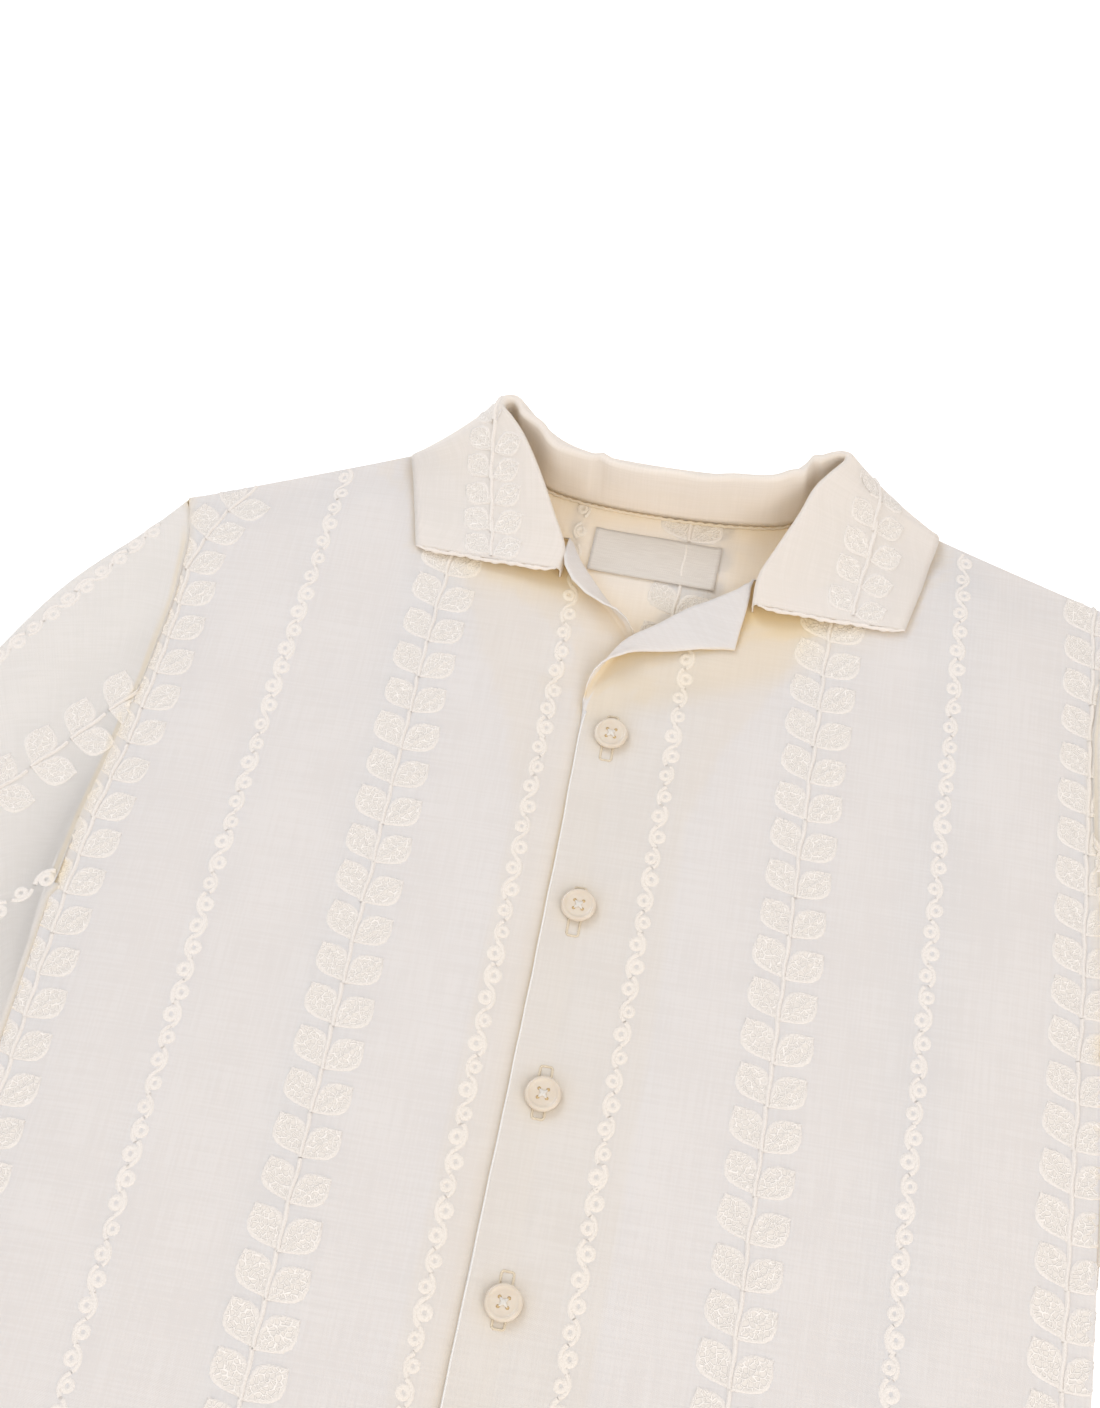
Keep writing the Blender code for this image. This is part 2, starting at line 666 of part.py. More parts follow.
def main():
    clear_scene()
    shirt = make_collection(NAME)
    cutters = make_collection(NAME + "_cutters")
    back_cloth = make_material("back_cloth", CLOTH_COLOUR, 0.85)
    flat_piece("back", shirt, back_cloth, back_outline(), CLOTH)
    over = make_material("front_left_cloth", CLOTH_COLOUR, 0.85)
    make_front("front_left", shirt, over, FRONT_LEFT, 1, front_z)
    under = make_material("front_right_cloth", CLOTH_COLOUR, 0.85)
    make_front("front_right", shirt, under, FRONT_RIGHT, -1, under_z)
    for name, side in (("sleeve_left", 1), ("sleeve_right", -1)):
        make_sleeve(name, shirt, make_material(name + "_cloth", CLOTH_COLOUR, 0.85), side)
    make_collar("collar", shirt, make_material("collar_cloth", COLLAR_COLOUR, 0.8))
    make_label("label", shirt, make_material("label_tape", LABEL_COLOUR, 0.7))
    make_buttons(shirt, cutters, make_material("button_plastic", BUTTON_COLOUR, 0.35))


main()
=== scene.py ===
import math

import bmesh
import bpy
import numpy as np
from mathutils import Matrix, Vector
from mathutils.bvhtree import BVHTree


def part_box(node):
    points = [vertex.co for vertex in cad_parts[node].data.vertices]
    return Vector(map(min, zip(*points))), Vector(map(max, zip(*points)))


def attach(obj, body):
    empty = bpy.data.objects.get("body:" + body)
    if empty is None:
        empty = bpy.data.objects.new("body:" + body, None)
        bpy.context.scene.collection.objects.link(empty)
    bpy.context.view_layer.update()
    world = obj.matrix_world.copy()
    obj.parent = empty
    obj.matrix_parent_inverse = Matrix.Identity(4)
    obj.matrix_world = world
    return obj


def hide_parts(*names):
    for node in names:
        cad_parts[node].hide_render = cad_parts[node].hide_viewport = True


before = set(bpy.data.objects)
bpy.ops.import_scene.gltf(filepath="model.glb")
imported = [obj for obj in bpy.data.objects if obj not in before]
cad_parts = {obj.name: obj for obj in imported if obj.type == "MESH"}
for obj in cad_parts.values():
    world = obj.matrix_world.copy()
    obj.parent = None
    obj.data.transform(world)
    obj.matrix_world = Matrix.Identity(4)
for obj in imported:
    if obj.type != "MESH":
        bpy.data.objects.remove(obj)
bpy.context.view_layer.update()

# A child's camp collar shirt, buttoned and laid flat on its back.
# Lengths below are millimetres from the top button: x to the wearer's left, y to the collar, z up.
mm = 0.001
middleY = -128.75

body = {
    "halfWidth": 171, "hemY": -385, "armpitY": -85,
    "loft": 3, "edgeZ": 2.75, "overlapStep": 1.25,
    "wall": 0.5, "rimRadius": 0.8, "frontEdgeRadius": 0.8, "columns": 64, "rowSpacing": 3.3, "foot": 0.9,
    "facing": [(-385, 29), (-30, 30), (0, 38), (25, 52), (60, 66), (110, 80)],
    "hemDepth": 14, "hemStep": 0.35, "armholeRidge": 0.9, "armholeRidgeWidth": 3.2,
    "shoulderTip": {1: (168.4, 78.5), -1: (-167.2, 71.5)},
    "shoulderBend": {1: (102.3, 101), -1: (-90.6, 104.8)},
    "neckPoint": {1: (74.6, 109.8), -1: (-59.4, 113.8)},
    "side": [  # y, half width
        (-385, 171), (-85, 171), (-60, 169.4), (-30, 166), (0, 163.2),
        (30, 161.8), (55, 163.5), (72, 167.3), (79, 168.4)],
    "folds": [  # x0, y0, x1, y1, height, half width
        (4, 18, 60, 42, -0.9, 9), (-12, 12, -62, 50, -1, 9),
        (-80, 56, -134, -44, -1.1, 17), (-52, 40, -44, -60, 0.5, 16),
        (92, 52, 140, -30, -0.8, 18), (60, 20, 66, -90, 0.5, 18),
        (-150, 40, -132, -90, 0.5, 12), (150, 34, 136, -86, 0.5, 12),
        (-40, -130, -74, -330, -1, 20), (44, -150, 60, -360, -0.9, 20),
        (118, -120, 126, -300, 0.5, 18), (-124, -150, -112, -350, 0.5, 18)],
    "creases": [  # finer ones that only the cloth shows
        (-6, 8, -2.5, 30, 0.35, 2.6), (3, 12, 12, 30, -0.3, 3),
        (2.5, -9, 1.5, -52, -0.5, 1.7), (2.5, -76, 0.5, -120, -0.5, 1.7),
        (1.5, -140, 1, -184, -0.5, 1.7), (1.5, -204, 1.5, -250, -0.5, 1.7),
        (1.5, -268, 1.5, -312, -0.5, 1.7), (1.5, -334, 1.5, -380, -0.5, 1.7),
        (-9, -48, 4, -56, 0.3, 3), (-9, -112, 5, -122, 0.3, 3),
        (6, -58, 20, -48, 0.35, 2.6), (-30, -60, -29, -350, 0.3, 1.6),
        (30, -60, 29, -350, 0.25, 1.6), (-34, -22, -52, 24, 0.3, 2),
        (36, -16, 54, 26, 0.25, 2), (-20, 20, -27, -40, -0.3, 3),
        (-78, 40, -60, 20, 0.3, 4), (74, 44, 52, 22, -0.35, 5)],
}

# each row of a front: start x, start y, y at the side, lapel width, lapel turn in degrees
leftFront = {"side": 1, "rows": [
    (-12.5, -385, -385, 0, 0), (-12.5, -230, -235, 0, 0),
    (-11, -110, -130, 0, 0), (-10.6, -40, -85, 0, 0),
    (-11, 2, -50, 0, 0), (-9.8, 14, -32, 1, 15), (-7.2, 22, -19, 4, 70),
    (-3.5, 30, -7, 7, 140), (1, 37, 4, 9.6, 178), (10, 44, 15, 14.5, 186),
    (19, 52, 27, 20, 187), (26, 56.5, 35, 23.3, 187),
    (29.5, 59, 40, 17.5, 187), (35, 63, 47, 9.6, 183), (38, 66, 52, 5, 180),
    (43, 72, 57, 0, 0), (50, 83, 63, 0, 0), (59, 96.5, 69, 0, 0),
    (68.5, 104.8, 74.5, 0, 0), (74.6, 109.8, 78.5, 0, 0)]}
rightFront = {"side": -1, "rows": [
    (10, -385, -385, 0, 0), (10, -230, -235, 0, 0),
    (11, -110, -130, 0, 0), (11, -40, -85, 0, 0), (11, 2, -50, 0, 0),
    (10, 22, -27, 0, 0), (6.5, 31, -15, 0, 0), (1, 37, -5, 1, 5),
    (-4, 43, 5, 5.5, 75), (-9, 48.5, 15, 9, 122), (-13.5, 53.5, 24, 11, 138),
    (-18, 59, 32, 12, 143), (-22, 64, 40, 11, 142),
    (-25.3, 69, 47, 8, 136), (-27.3, 73, 52, 4.5, 122),
    (-30.5, 77, 56, 0, 0), (-37.5, 87, 60, 0, 0), (-45.5, 99, 64, 0, 0),
    (-53.5, 108.6, 68, 0, 0), (-59.4, 113.8, 71.5, 0, 0)]}
lapel = {"radius": 1.5, "curlColumns": 7, "flatColumns": 7, "edge": 0.42}

sleeve = {
    "cuffOuter": (262, -75), "cuffInner": (170.6, -150), "foldRadius": 1.9, "loft": 2.5,
    "capBulge": 5, "wall": 0.5, "tuck": 1.2, "tuckDrop": 0.35, "hemDepth": 0.09, "hemStep": 0.35,
    "rings": 64, "across": 44, "foldSteps": 7,
    "folds": [  # along and across at both ends, height, half width
        (0.05, 0.30, 0.75, 0.22, -0.9, 0.07), (0.02, 0.62, 0.90, 0.50, -0.8, 0.08),
        (0.10, 0.42, 0.60, 0.36, 0.6, 0.06), (0.25, 0.84, 0.95, 0.74, -0.7, 0.07)],
}

collar = {
    "wall": 0.6, "rollRadius": 1.8, "perRow": 7, "standSteps": 8, "rollSteps": 9, "fallSteps": 18,
    "rows": [  # seam x, y; 1 on a front and 0 on the back; fold x, y; top z; outer edge x, y, z
        (-27.9, 59.8, 1, -27.7, 59.8, 11.5, -81, 63.6, 7.3),
        (-27.9, 68.8, 1, -27.7, 68.6, 14, -83.5, 74, 7.2),
        (-34.2, 80, 1, -33.5, 79.6, 18, -86, 84, 7.1),
        (-41.6, 92.2, 1, -40.7, 92.6, 22.6, -88.5, 94, 6.8),
        (-49.6, 103.4, 1, -48.2, 104.2, 26.3, -90.2, 99.5, 6.4),
        (-56.2, 110.6, 1, -53.8, 110.8, 27.8, -90.8, 103.4, 5.6),
        (-59.8, 114.1, 1, -56.9, 113.9, 28, -87.5, 108.4, 3.6),
        (-61.3, 116.6, 0, -57.8, 115.6, 28, -79.5, 117, 2.2),
        (-60.9, 118.6, 0, -57.2, 117.1, 28, -69, 124.6, 1.9),
        (-58.8, 119.2, 0, -55.6, 117.4, 28, -58, 127.5, 1.8),
        (-56.2, 117.4, 0, -53.8, 116.1, 27.8, -48.6, 126, 1.8),
        (-51, 110.8, 0, -49.6, 111.9, 27, -41, 123, 1.8),
        (-41, 100.6, 0, -41, 104, 25.8, -31.5, 120, 1.8),
        (-28, 97, 0, -28, 99.4, 25.2, -21.5, 118.2, 1.8),
        (-12, 95.4, 0, -12, 97.4, 25.2, -8.5, 117.4, 1.8),
        (4, 95, 0, 4, 97, 25.2, 4, 117.2, 1.8),
        (19, 95.3, 0, 19, 97.3, 25.2, 16.5, 117.4, 1.8),
        (34, 96.4, 0, 34, 99, 25.5, 30, 118.2, 1.8),
        (47.6, 99, 0, 47.6, 102.2, 26, 40.5, 119.6, 1.8),
        (58.6, 106.6, 0, 53.4, 108, 27, 50.5, 121.8, 1.8),
        (67.2, 113.4, 0, 58.6, 111.8, 27.8, 60, 123.4, 1.8),
        (71, 116, 0, 62, 113.8, 28, 69, 124, 1.8),
        (74.6, 116.6, 0, 64.2, 114.2, 28, 79.5, 121, 1.9),
        (76.6, 114.4, 0, 64.4, 113, 28, 90, 113.2, 2.2),
        (75, 110.2, 1, 62.6, 110.2, 28, 98.6, 105.6, 3.6),
        (70.2, 105.6, 1, 59.2, 105.8, 27.7, 102.4, 101, 5.6),
        (63.4, 99.2, 1, 55, 99.8, 26.2, 101.8, 94.6, 6.4),
        (54.8, 88.4, 1, 51.4, 90.8, 22.8, 100, 86.4, 6.8),
        (47.2, 77.8, 1, 45.4, 78.4, 18.5, 98.4, 77.4, 7.1),
        (40.8, 68, 1, 40.6, 67.8, 14.5, 96.2, 68, 7.2),
        (40.4, 57.2, 1, 40.2, 57.2, 11.5, 94, 58.6, 7.3)],
    "puckers": [  # row, its spread, height on the stand: the soft upright puckers at the back
        (13.45, 0.14, -3.4), (12.4, 0.35, 1.8), (11.6, 0.35, -2.6), (18, 0.3, -2.6), (18.6, 0.22, 2),
        (19.2, 0.25, -3), (16.6, 0.4, -1.5), (15.8, 0.3, 1.1), (14.4, 0.5, 1.2), (10.7, 0.4, 2)],
    "lipRadius": 0.72, "lipOut": 0.55,
}

label = {"width": 46, "depth": 18.6, "centre": (3.4, 76.4), "turn": -1.6, "lift": 0.7, "thickness": 0.3,
         "columns": 30, "lines": 14, "shade": (0.65, 0.60, 0.545, 1), "colour": (0.71, 0.665, 0.61, 1)}
button = {"count": 6, "radius": 5.7, "height": 2.3, "hole": 0.6, "holeRing": 2, "steps": 48,
          "slit": 17, "slitWidth": 3.8, "slitX": -0.4, "slitY": (-1.2, -1.8, 0.8, 1, 0, 0.6),
          "shade": (0.675, 0.585, 0.48, 1), "colour": (0.72, 0.64, 0.54, 1)}
backCloth = {"outerZ": 0.45, "innerZ": 1.2, "wall": 0.75, "inset": 0.7, "gridStep": 11}

leafStitch = {  # a pair of leaves on its stem: lean in degrees, length, half width
    "pitch": 14, "front": (36, 15, 5.2), "collar": (50, 12.2, 4.3), "collarCloser": 0.66,
    "thread": 0.5, "lift": 0.38, "stemThread": 0.72, "stemLift": 0.66}
chainStitch = {"pitch": 7.6, "ring": 1.55, "thread": 0.92, "lift": 0.36}
stitchReach = 2.2  # threads further than this from the cloth are cut away

cameraSpot = {"place": (39.5, -336.2, 612.2), "target": (-22.4, 8.3, 6), "lens": 52.5}


def ease(value):
    value = min(1, max(0, value))
    return value * value * (3 - 2 * value)


def sideX(y):
    return float(np.interp(y, [row[0] for row in body["side"]], [row[1] for row in body["side"]]))


def along(rows, position):
    first = min(int(position), len(rows) - 2)
    share = position - first
    return [a + (b - a) * share for a, b in zip(rows[first], rows[first + 1])]


def smoothAlong(rows, position):  # the same on a curve through the rows
    last = len(rows) - 1
    first = min(int(position), last - 1)
    share = position - first
    values = []
    for a, b, c, d in zip(rows[max(first - 1, 0)], rows[first], rows[first + 1],
                          rows[min(first + 2, last)]):
        slopeIn, slopeOut = (c - a) / 2, (d - b) / 2
        cube = 2 * b - 2 * c + slopeIn + slopeOut
        square = -3 * b + 3 * c - 2 * slopeIn - slopeOut
        values.append(((cube * share + square) * share + slopeIn) * share + b)
    return values


def foldHeight(x, y, folds):
    total = 0
    for x0, y0, x1, y1, height, halfWidth in folds:
        runX, runY = x1 - x0, y1 - y0
        length = math.hypot(runX, runY)
        share = ((x - x0) * runX + (y - y0) * runY) / length ** 2
        away = abs((x - x0) * runY - (y - y0) * runX) / length
        if away < halfWidth * 3:
            ends = ease((share + 0.25) / 0.5) * ease((1.25 - share) / 0.5)
            total += height * ends * math.exp(-(away / halfWidth) ** 2)
    return total


def shoulderY(x):
    side = 1 if x > 0 else -1
    line = [body["neckPoint"][side], body["shoulderBend"][side], body["shoulderTip"][side]]
    return float(np.interp(abs(x), [abs(point[0]) for point in line], [point[1] for point in line]))


def frontZ(x, y):  # outer face of the closed front
    fromSide = ease((sideX(y) - abs(x)) / 34)
    fromShoulder = ease((shoulderY(x) - y) / 26)
    nearNeck = math.exp(-((abs(x - 6) - 62) / 34) ** 2)
    fromShoulder = max(fromShoulder, 0.55 * nearNeck)
    fromHem = 0.75 + 0.25 * ease((y - body["hemY"]) / 60)
    rise = body["loft"] * fromSide * fromShoulder * fromHem
    return body["edgeZ"] + rise + foldHeight(x, y, body["folds"]) * fromSide * fromShoulder


def clothZ(x, y):  # with what only the cloth shows: fine creases, the hem and the armhole's ridge
    fromArmhole = (sideX(y) - abs(x)) / body["armholeRidgeWidth"]
    inArmhole = ease((y - body["armpitY"] - 4) / 20)
    ridge = body["armholeRidge"] * math.exp(-fromArmhole ** 2) * inArmhole
    hem = body["hemStep"] * ease((body["hemY"] + body["hemDepth"] - y) / 1.2)
    return frontZ(x, y) + foldHeight(x, y, body["creases"]) + ridge + hem


def overEdgeX(y):
    rows = leftFront["rows"]
    return float(np.interp(y, [row[1] for row in rows], [row[0] for row in rows]))


def underZ(x, y):
    reach = (x - overEdgeX(y) + 24) / 20
    return clothZ(x, y) - body["overlapStep"] * ease(reach)


def place(x, y, z):
    return Vector((x, y - middleY, z)) * mm


def linkPiece(name, mesh):
    piece = bpy.data.objects.new(name, mesh)
    bpy.context.scene.collection.objects.link(piece)
    return piece


def show(piece, slot, *nodes):
    # a finished piece rides on the shirt's one body and may stand in for a CAD node
    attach(piece, "root")
    if nodes:
        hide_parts(*nodes)
    return piece


def meshFrom(solid, name, *materials):
    mesh = bpy.data.meshes.new(name)
    solid.to_mesh(mesh)
    solid.free()
    for material in materials:
        mesh.materials.append(material)
    mesh.shade_smooth()
    return mesh


def gridMesh(name, rows, uvs, material, closed=False, flip=False):
    # a sheet from rows of points; uvs holds one more column than a closed sheet has
    count = len(rows[0])
    faces, corners = [], []
    for row in range(len(rows) - 1):
        for column in range(count if closed else count - 1):
            spots = [(row, column), (row, column + 1), (row + 1, column + 1), (row + 1, column)]
            spots = spots[::-1] if flip else spots
            faces.append([r * count + c % count for r, c in spots])
            corners += [uvs[r][c] for r, c in spots]
    mesh = bpy.data.meshes.new(name)
    mesh.from_pydata([place(*point) for line in rows for point in line], [], faces)
    layer = mesh.uv_layers.new(name="cloth")
    for loop, (u, v) in zip(layer.data, corners):
        loop.uv = (u * mm, v * mm)
    mesh.materials.append(material)
    tidy = bmesh.new()
    tidy.from_mesh(mesh)
    bmesh.ops.remove_doubles(tidy, verts=tidy.verts, dist=0.002 * mm)
    bmesh.ops.dissolve_degenerate(tidy, edges=tidy.edges, dist=0.002 * mm)
    tidy.to_mesh(mesh)
    tidy.free()
    mesh.shade_smooth()
    return mesh


def clothPiece(name, mesh, wall, node, slot="shirt_cloth"):
    piece = linkPiece(name, mesh)
    shell = piece.modifiers.new("wall", "SOLIDIFY")
    shell.thickness, shell.offset, shell.use_quality_normals = wall * mm, -1, True
    return show(piece, slot, node)


class Signal:
    # a socket in a material, so that masks and mixes are written as sums
    def __init__(self, tree, socket=None):
        self.tree, self.socket = tree, socket

    def node(self, kind, settings, values, output=0):
        made = self.tree.nodes.new("ShaderNode" + kind)
        for name, value in settings.items():
            setattr(made, name, value)
        for name, value in values.items():
            if isinstance(value, Signal):
                self.tree.links.new(value.socket, made.inputs[name])
            else:
                made.inputs[name].default_value = value
        return Signal(self.tree, made.outputs[output])

    def out(self, output):
        return Signal(self.tree, self.socket.node.outputs[output])

    def math(self, operation, *others):  # other operations, by name
        return self.node("Math", {"operation": operation}, dict(enumerate((self,) + others)))

    def __add__(self, other):
        return self.math("ADD", other)

    def __sub__(self, other):
        return self.math("SUBTRACT", other)

    def __rsub__(self, other):
        return self.node("Math", {"operation": "SUBTRACT"}, {0: other, 1: self})

    def __mul__(self, other):
        return self.math("MULTIPLY", other)

    __radd__, __rmul__ = __add__, __mul__

    def band(self, low, high):  # 0 below low, 1 above high, soft between
        return self.node("MapRange", {"interpolation_type": "SMOOTHSTEP"},
                         {0: self, 1: low, 2: high, 3: 0, 4: 1})

    def blend(self, first, second):  # from the first colour at 0 to the second at 1
        return self.node("Mix", {"data_type": "RGBA", "clamp_factor": True},
                         {0: self, 6: first, 7: second}, 2)

    def attribute(self, name, output=2):
        return self.node("Attribute", {"attribute_name": name}, {}, output)

    def noise(self, spot, scale, detail, flat=False, **more):
        return self.node("TexNoise", {"noise_dimensions": "2D" if flat else "3D"},
                         dict(more, Vector=spot, Scale=scale, Detail=detail))


def newMaterial(name):
    material = bpy.data.materials.new(name)
    material.use_nodes = True
    return material, Signal(material.node_tree), material.node_tree.nodes["Principled BSDF"]


def connect(start, shader, colour, roughness, height, gloss=0.5):
    bump = start.node("Bump", {}, {"Strength": 1, "Distance": mm, "Height": height})
    for name, value in (("Base Color", colour), ("Roughness", roughness), ("Normal", bump)):
        start.tree.links.new(value.socket, shader.inputs[name])
    shader.inputs["Specular IOR Level"].default_value = gloss


def clothPlace(start):  # across and down the cloth, in millimetres
    apart = start.node("SeparateXYZ", {}, {0: start.node("UVMap", {"uv_map": "cloth"}, {})})
    return apart.out(0) * 1000, apart.out(1) * 1000


clothLook = {
    "colour": (0.905, 0.905, 0.925, 1), "shade": (0.865, 0.86, 0.875, 1),
    # the amber below is painted shade, the colour that closed-in cloth is tinted toward
    "paintedShadeColour": (0.945, 0.77, 0.46, 1), "through": (1, 0.86, 0.64, 1), "sheer": 0.28,
    "threadPitch": 0.46, "weaveHeight": 0.035, "crinkleHeight": 0.45,
}


def makeCloth(name, **changed):
    look = dict(clothLook, **changed)
    material, start, shader = newMaterial(name)
    across, down = clothPlace(start)
    turns = 2 * math.pi / look["threadPitch"]
    weave = (across * turns).math("SINE") * (down * turns).math("SINE")

    def slub(wide, tall):  # uneven yarns: noise drawn out along the yarn
        spot = start.node("CombineXYZ", {}, {0: across * (1 / wide), 1: down * (1 / tall)})
        return start.noise(spot, 1, 0, flat=True)

    warp, weft = slub(0.7, 22), slub(22, 0.7)
    crinkle = start.noise(start.node("TexCoord", {}, {}, 3), 42, 1, Roughness=0.45)
    height = weave * look["weaveHeight"] + (crinkle - 0.5) * look["crinkleHeight"]
    tone = ((warp + weft) * 0.5 + (crinkle - 0.5) * 0.5 + weave * 0.06).band(0.3, 0.75)
    # painted shade: the cloth is blended toward its amber shade colour by the paintedShade attribute
    colour = start.attribute("paintedShade").blend(tone.blend(look["shade"], look["colour"]), look["paintedShadeColour"])
    connect(start, shader, colour, 0.84 + (warp - 0.5) * 0.12, height, 0.2)
    through = start.node("BsdfTranslucent", {}, {"Color": look["through"]})
    mix = start.node("MixShader", {},
                     {0: look["sheer"], 1: Signal(start.tree, shader.outputs[0]), 2: through})
    start.tree.links.new(mix.socket, start.tree.nodes["Material Output"].inputs[0])
    return material


threadLook = {
    # the hollow colour paints the shade in the net's gaps and between a cord's knots
    "colour": (0.81, 0.765, 0.725, 1), "hollowShade": (0.75, 0.705, 0.66, 1),
    "strand": (0.88, 0.835, 0.795, 1), "paintedShadeColour": (0.84, 0.70, 0.47, 1),
    "cell": 1.6, "netHeight": 0.2, "knotHeight": 0.2, "gloss": 0.25,
}


def makeThread(name, look):
    # cotton embroidery thread; inside a leaf it is a net of small loops
    material, start, shader = newMaterial(name)
    spot = start.node("VectorMath", {"operation": "SCALE"},
                      {0: start.node("UVMap", {"uv_map": "thread"}, {}), "Scale": 1000})
    spot = start.node("VectorMath", {"operation": "ADD"}, {0: spot, 1: start.attribute("shift", 1)})
    fill = start.attribute("fill")
    bent = start.node("VectorMath", {"operation": "ADD"},
                      {0: spot, 1: start.noise(spot, 0.55, 0, flat=True).out(1)})
    net = start.node("TexVoronoi", {"voronoi_dimensions": "2D", "feature": "DISTANCE_TO_EDGE"},
                     {"Vector": bent, "Scale": 1 / look["cell"], "Randomness": 0.9})
    strand = 1 - net.band(0.06, 0.19)
    knots = start.noise(spot, 1.5, 2, flat=True)
    height = fill * strand * look["netHeight"] + (1.2 - fill) * knots * look["knotHeight"]
    # painted shade: the net's gaps (the cloth seen between the strands, in shade) and the low spots between a
    # cord's knots get the darker hollow colour
    shadedGap = fill * (1 - strand) + (1 - fill) * (1 - knots.band(0.32, 0.5)) * 0.7
    colour = shadedGap.blend(fill.blend(look["colour"], look["strand"]), look["hollowShade"])
    # painted shade: the thread takes the painted shade of the cloth under it
    colour = start.attribute("paintedShade").blend(colour, look["paintedShadeColour"])
    connect(start, shader, colour, 0.7 + shadedGap * 0.15, height, look["gloss"])
    return material


def makeSeamThread(name, *colour):
    material, start, shader = newMaterial(name)
    fibre = start.noise(start.node("TexCoord", {}, {}, 3), 1900, 2)
    tone = fibre.band(0.3, 0.7).blend(tuple(0.9 * part for part in colour) + (1,), colour + (1,))
    connect(start, shader, tone, 0.7 + fibre * 0.15, fibre * 0.12, threadLook["gloss"])
    return material


def makeLabelTape(name):
    # satin-woven tape: close ribs across, a little sheen
    material, start, shader = newMaterial(name)
    across, down = clothPlace(start)
    rib = (down * (2 * math.pi / 0.5)).math("SINE")
    satin = (across * (2 * math.pi / 0.7) + (down * (math.pi / 0.5)).math("SINE") * 1.4).math("SINE")
    spot = start.node("CombineXYZ", {}, {0: across * 0.15, 1: down * 2.2})
    streak = start.noise(spot, 1, 2, flat=True)
    colour = (streak + rib * 0.12 + satin * 0.08).band(0.25, 0.8).blend(label["shade"], label["colour"])
    connect(start, shader, colour, 0.52 + streak * 0.2, rib * 0.02 + satin * 0.015 + streak * 0.05)
    shader.inputs["Sheen Weight"].default_value = 0.1
    return material


def makeButtonPlastic(name):
    # cast polyester with a faint pearly swirl, matt from the tumbling drum
    material, start, shader = newMaterial(name)
    spot = start.node("TexCoord", {}, {}, 3)
    swirl = start.noise(spot, 140, 3, Distortion=1.2)
    grain = start.noise(spot, 1400, 2)
    colour = swirl.band(0.3, 0.72).blend(button["shade"], button["colour"])
    connect(start, shader, colour, 0.3 + grain * 0.12, grain * 0.015 + swirl * 0.03)
    for socket, value in (("Coat Weight", 0.15), ("Subsurface Weight", 0.08),
                          ("Subsurface Radius", (0.002, 0.0014, 0.0008))):
        shader.inputs[socket].default_value = value
    return material


shirtCloth = makeCloth("shirtCloth")
# a lighter, warmer copy of the cloth: painted light, the collar drawn brighter than the body
collarCloth = makeCloth("collarCloth", colour=(0.955, 0.925, 0.905, 1), shade=(0.915, 0.885, 0.86, 1),
                        sheer=0.26)
# a lighter copy of the cloth: painted light on the sleeves, which catch more of the lamps
sleeveClothPaintedLight = makeCloth("sleeveClothPaintedLight", colour=(0.94, 0.925, 0.915, 1), shade=(0.90, 0.885, 0.87, 1),
                        sheer=0.24)
# an amber copy of the cloth: painted shade along the neck seam
seamClothPaintedShade = makeCloth("seamClothPaintedShade", colour=(0.92, 0.84, 0.70, 1), shade=(0.86, 0.76, 0.58, 1))
threadCotton = makeThread("embroideryThread", threadLook)
seamCotton = makeSeamThread("seamThread", 0.77, 0.735, 0.685)
# amber thread: painted shade lines beside the buttonhole stitching
slitCottonPaintedShade = makeSeamThread("buttonholeThreadPaintedShade", 0.74, 0.64, 0.49)
# brighter thread: a painted highlight on the pressed front edge
edgeCottonHighlight = makeSeamThread("pressedEdgeHighlight", 0.86, 0.84, 0.815)
# dark amber thread: painted shade down in the button holes
holeCottonPaintedShade = makeSeamThread("holeThreadPaintedShade", 0.64, 0.46, 0.24)
labelTape = makeLabelTape("labelTape")
buttonPlastic = makeButtonPlastic("buttonPlastic")
print("materials ready")


def lapelSection(width, turn):
    # distances out and up from the roll line to each column of the turned-back cloth
    radius = lapel["radius"]
    curl = min(width / radius, turn)
    spots = []
    for column in range(1, lapel["curlColumns"] + lapel["flatColumns"] + 1):
        share = min(1, column / lapel["curlColumns"])
        flat = max(0, width - radius * curl) * max(0, column - lapel["curlColumns"]) / lapel["flatColumns"]
        angle = curl * share
        out = radius * math.sin(angle) + flat * math.cos(turn)
        up = radius * (1 - math.cos(angle)) + flat * math.sin(turn)
        spots.append((out, up, radius * angle + flat))
    return spots, curl


def edgeCurl(heading, way, radius, steps):  # an arc that goes on from a heading
    spots = []
    for step in range(1, steps + 1):
        turned = heading + way * math.pi / 2 * step / steps
        spots.append((way * radius * (math.sin(turned) - math.sin(heading)),
                      way * radius * (math.cos(heading) - math.cos(turned))))
    return spots


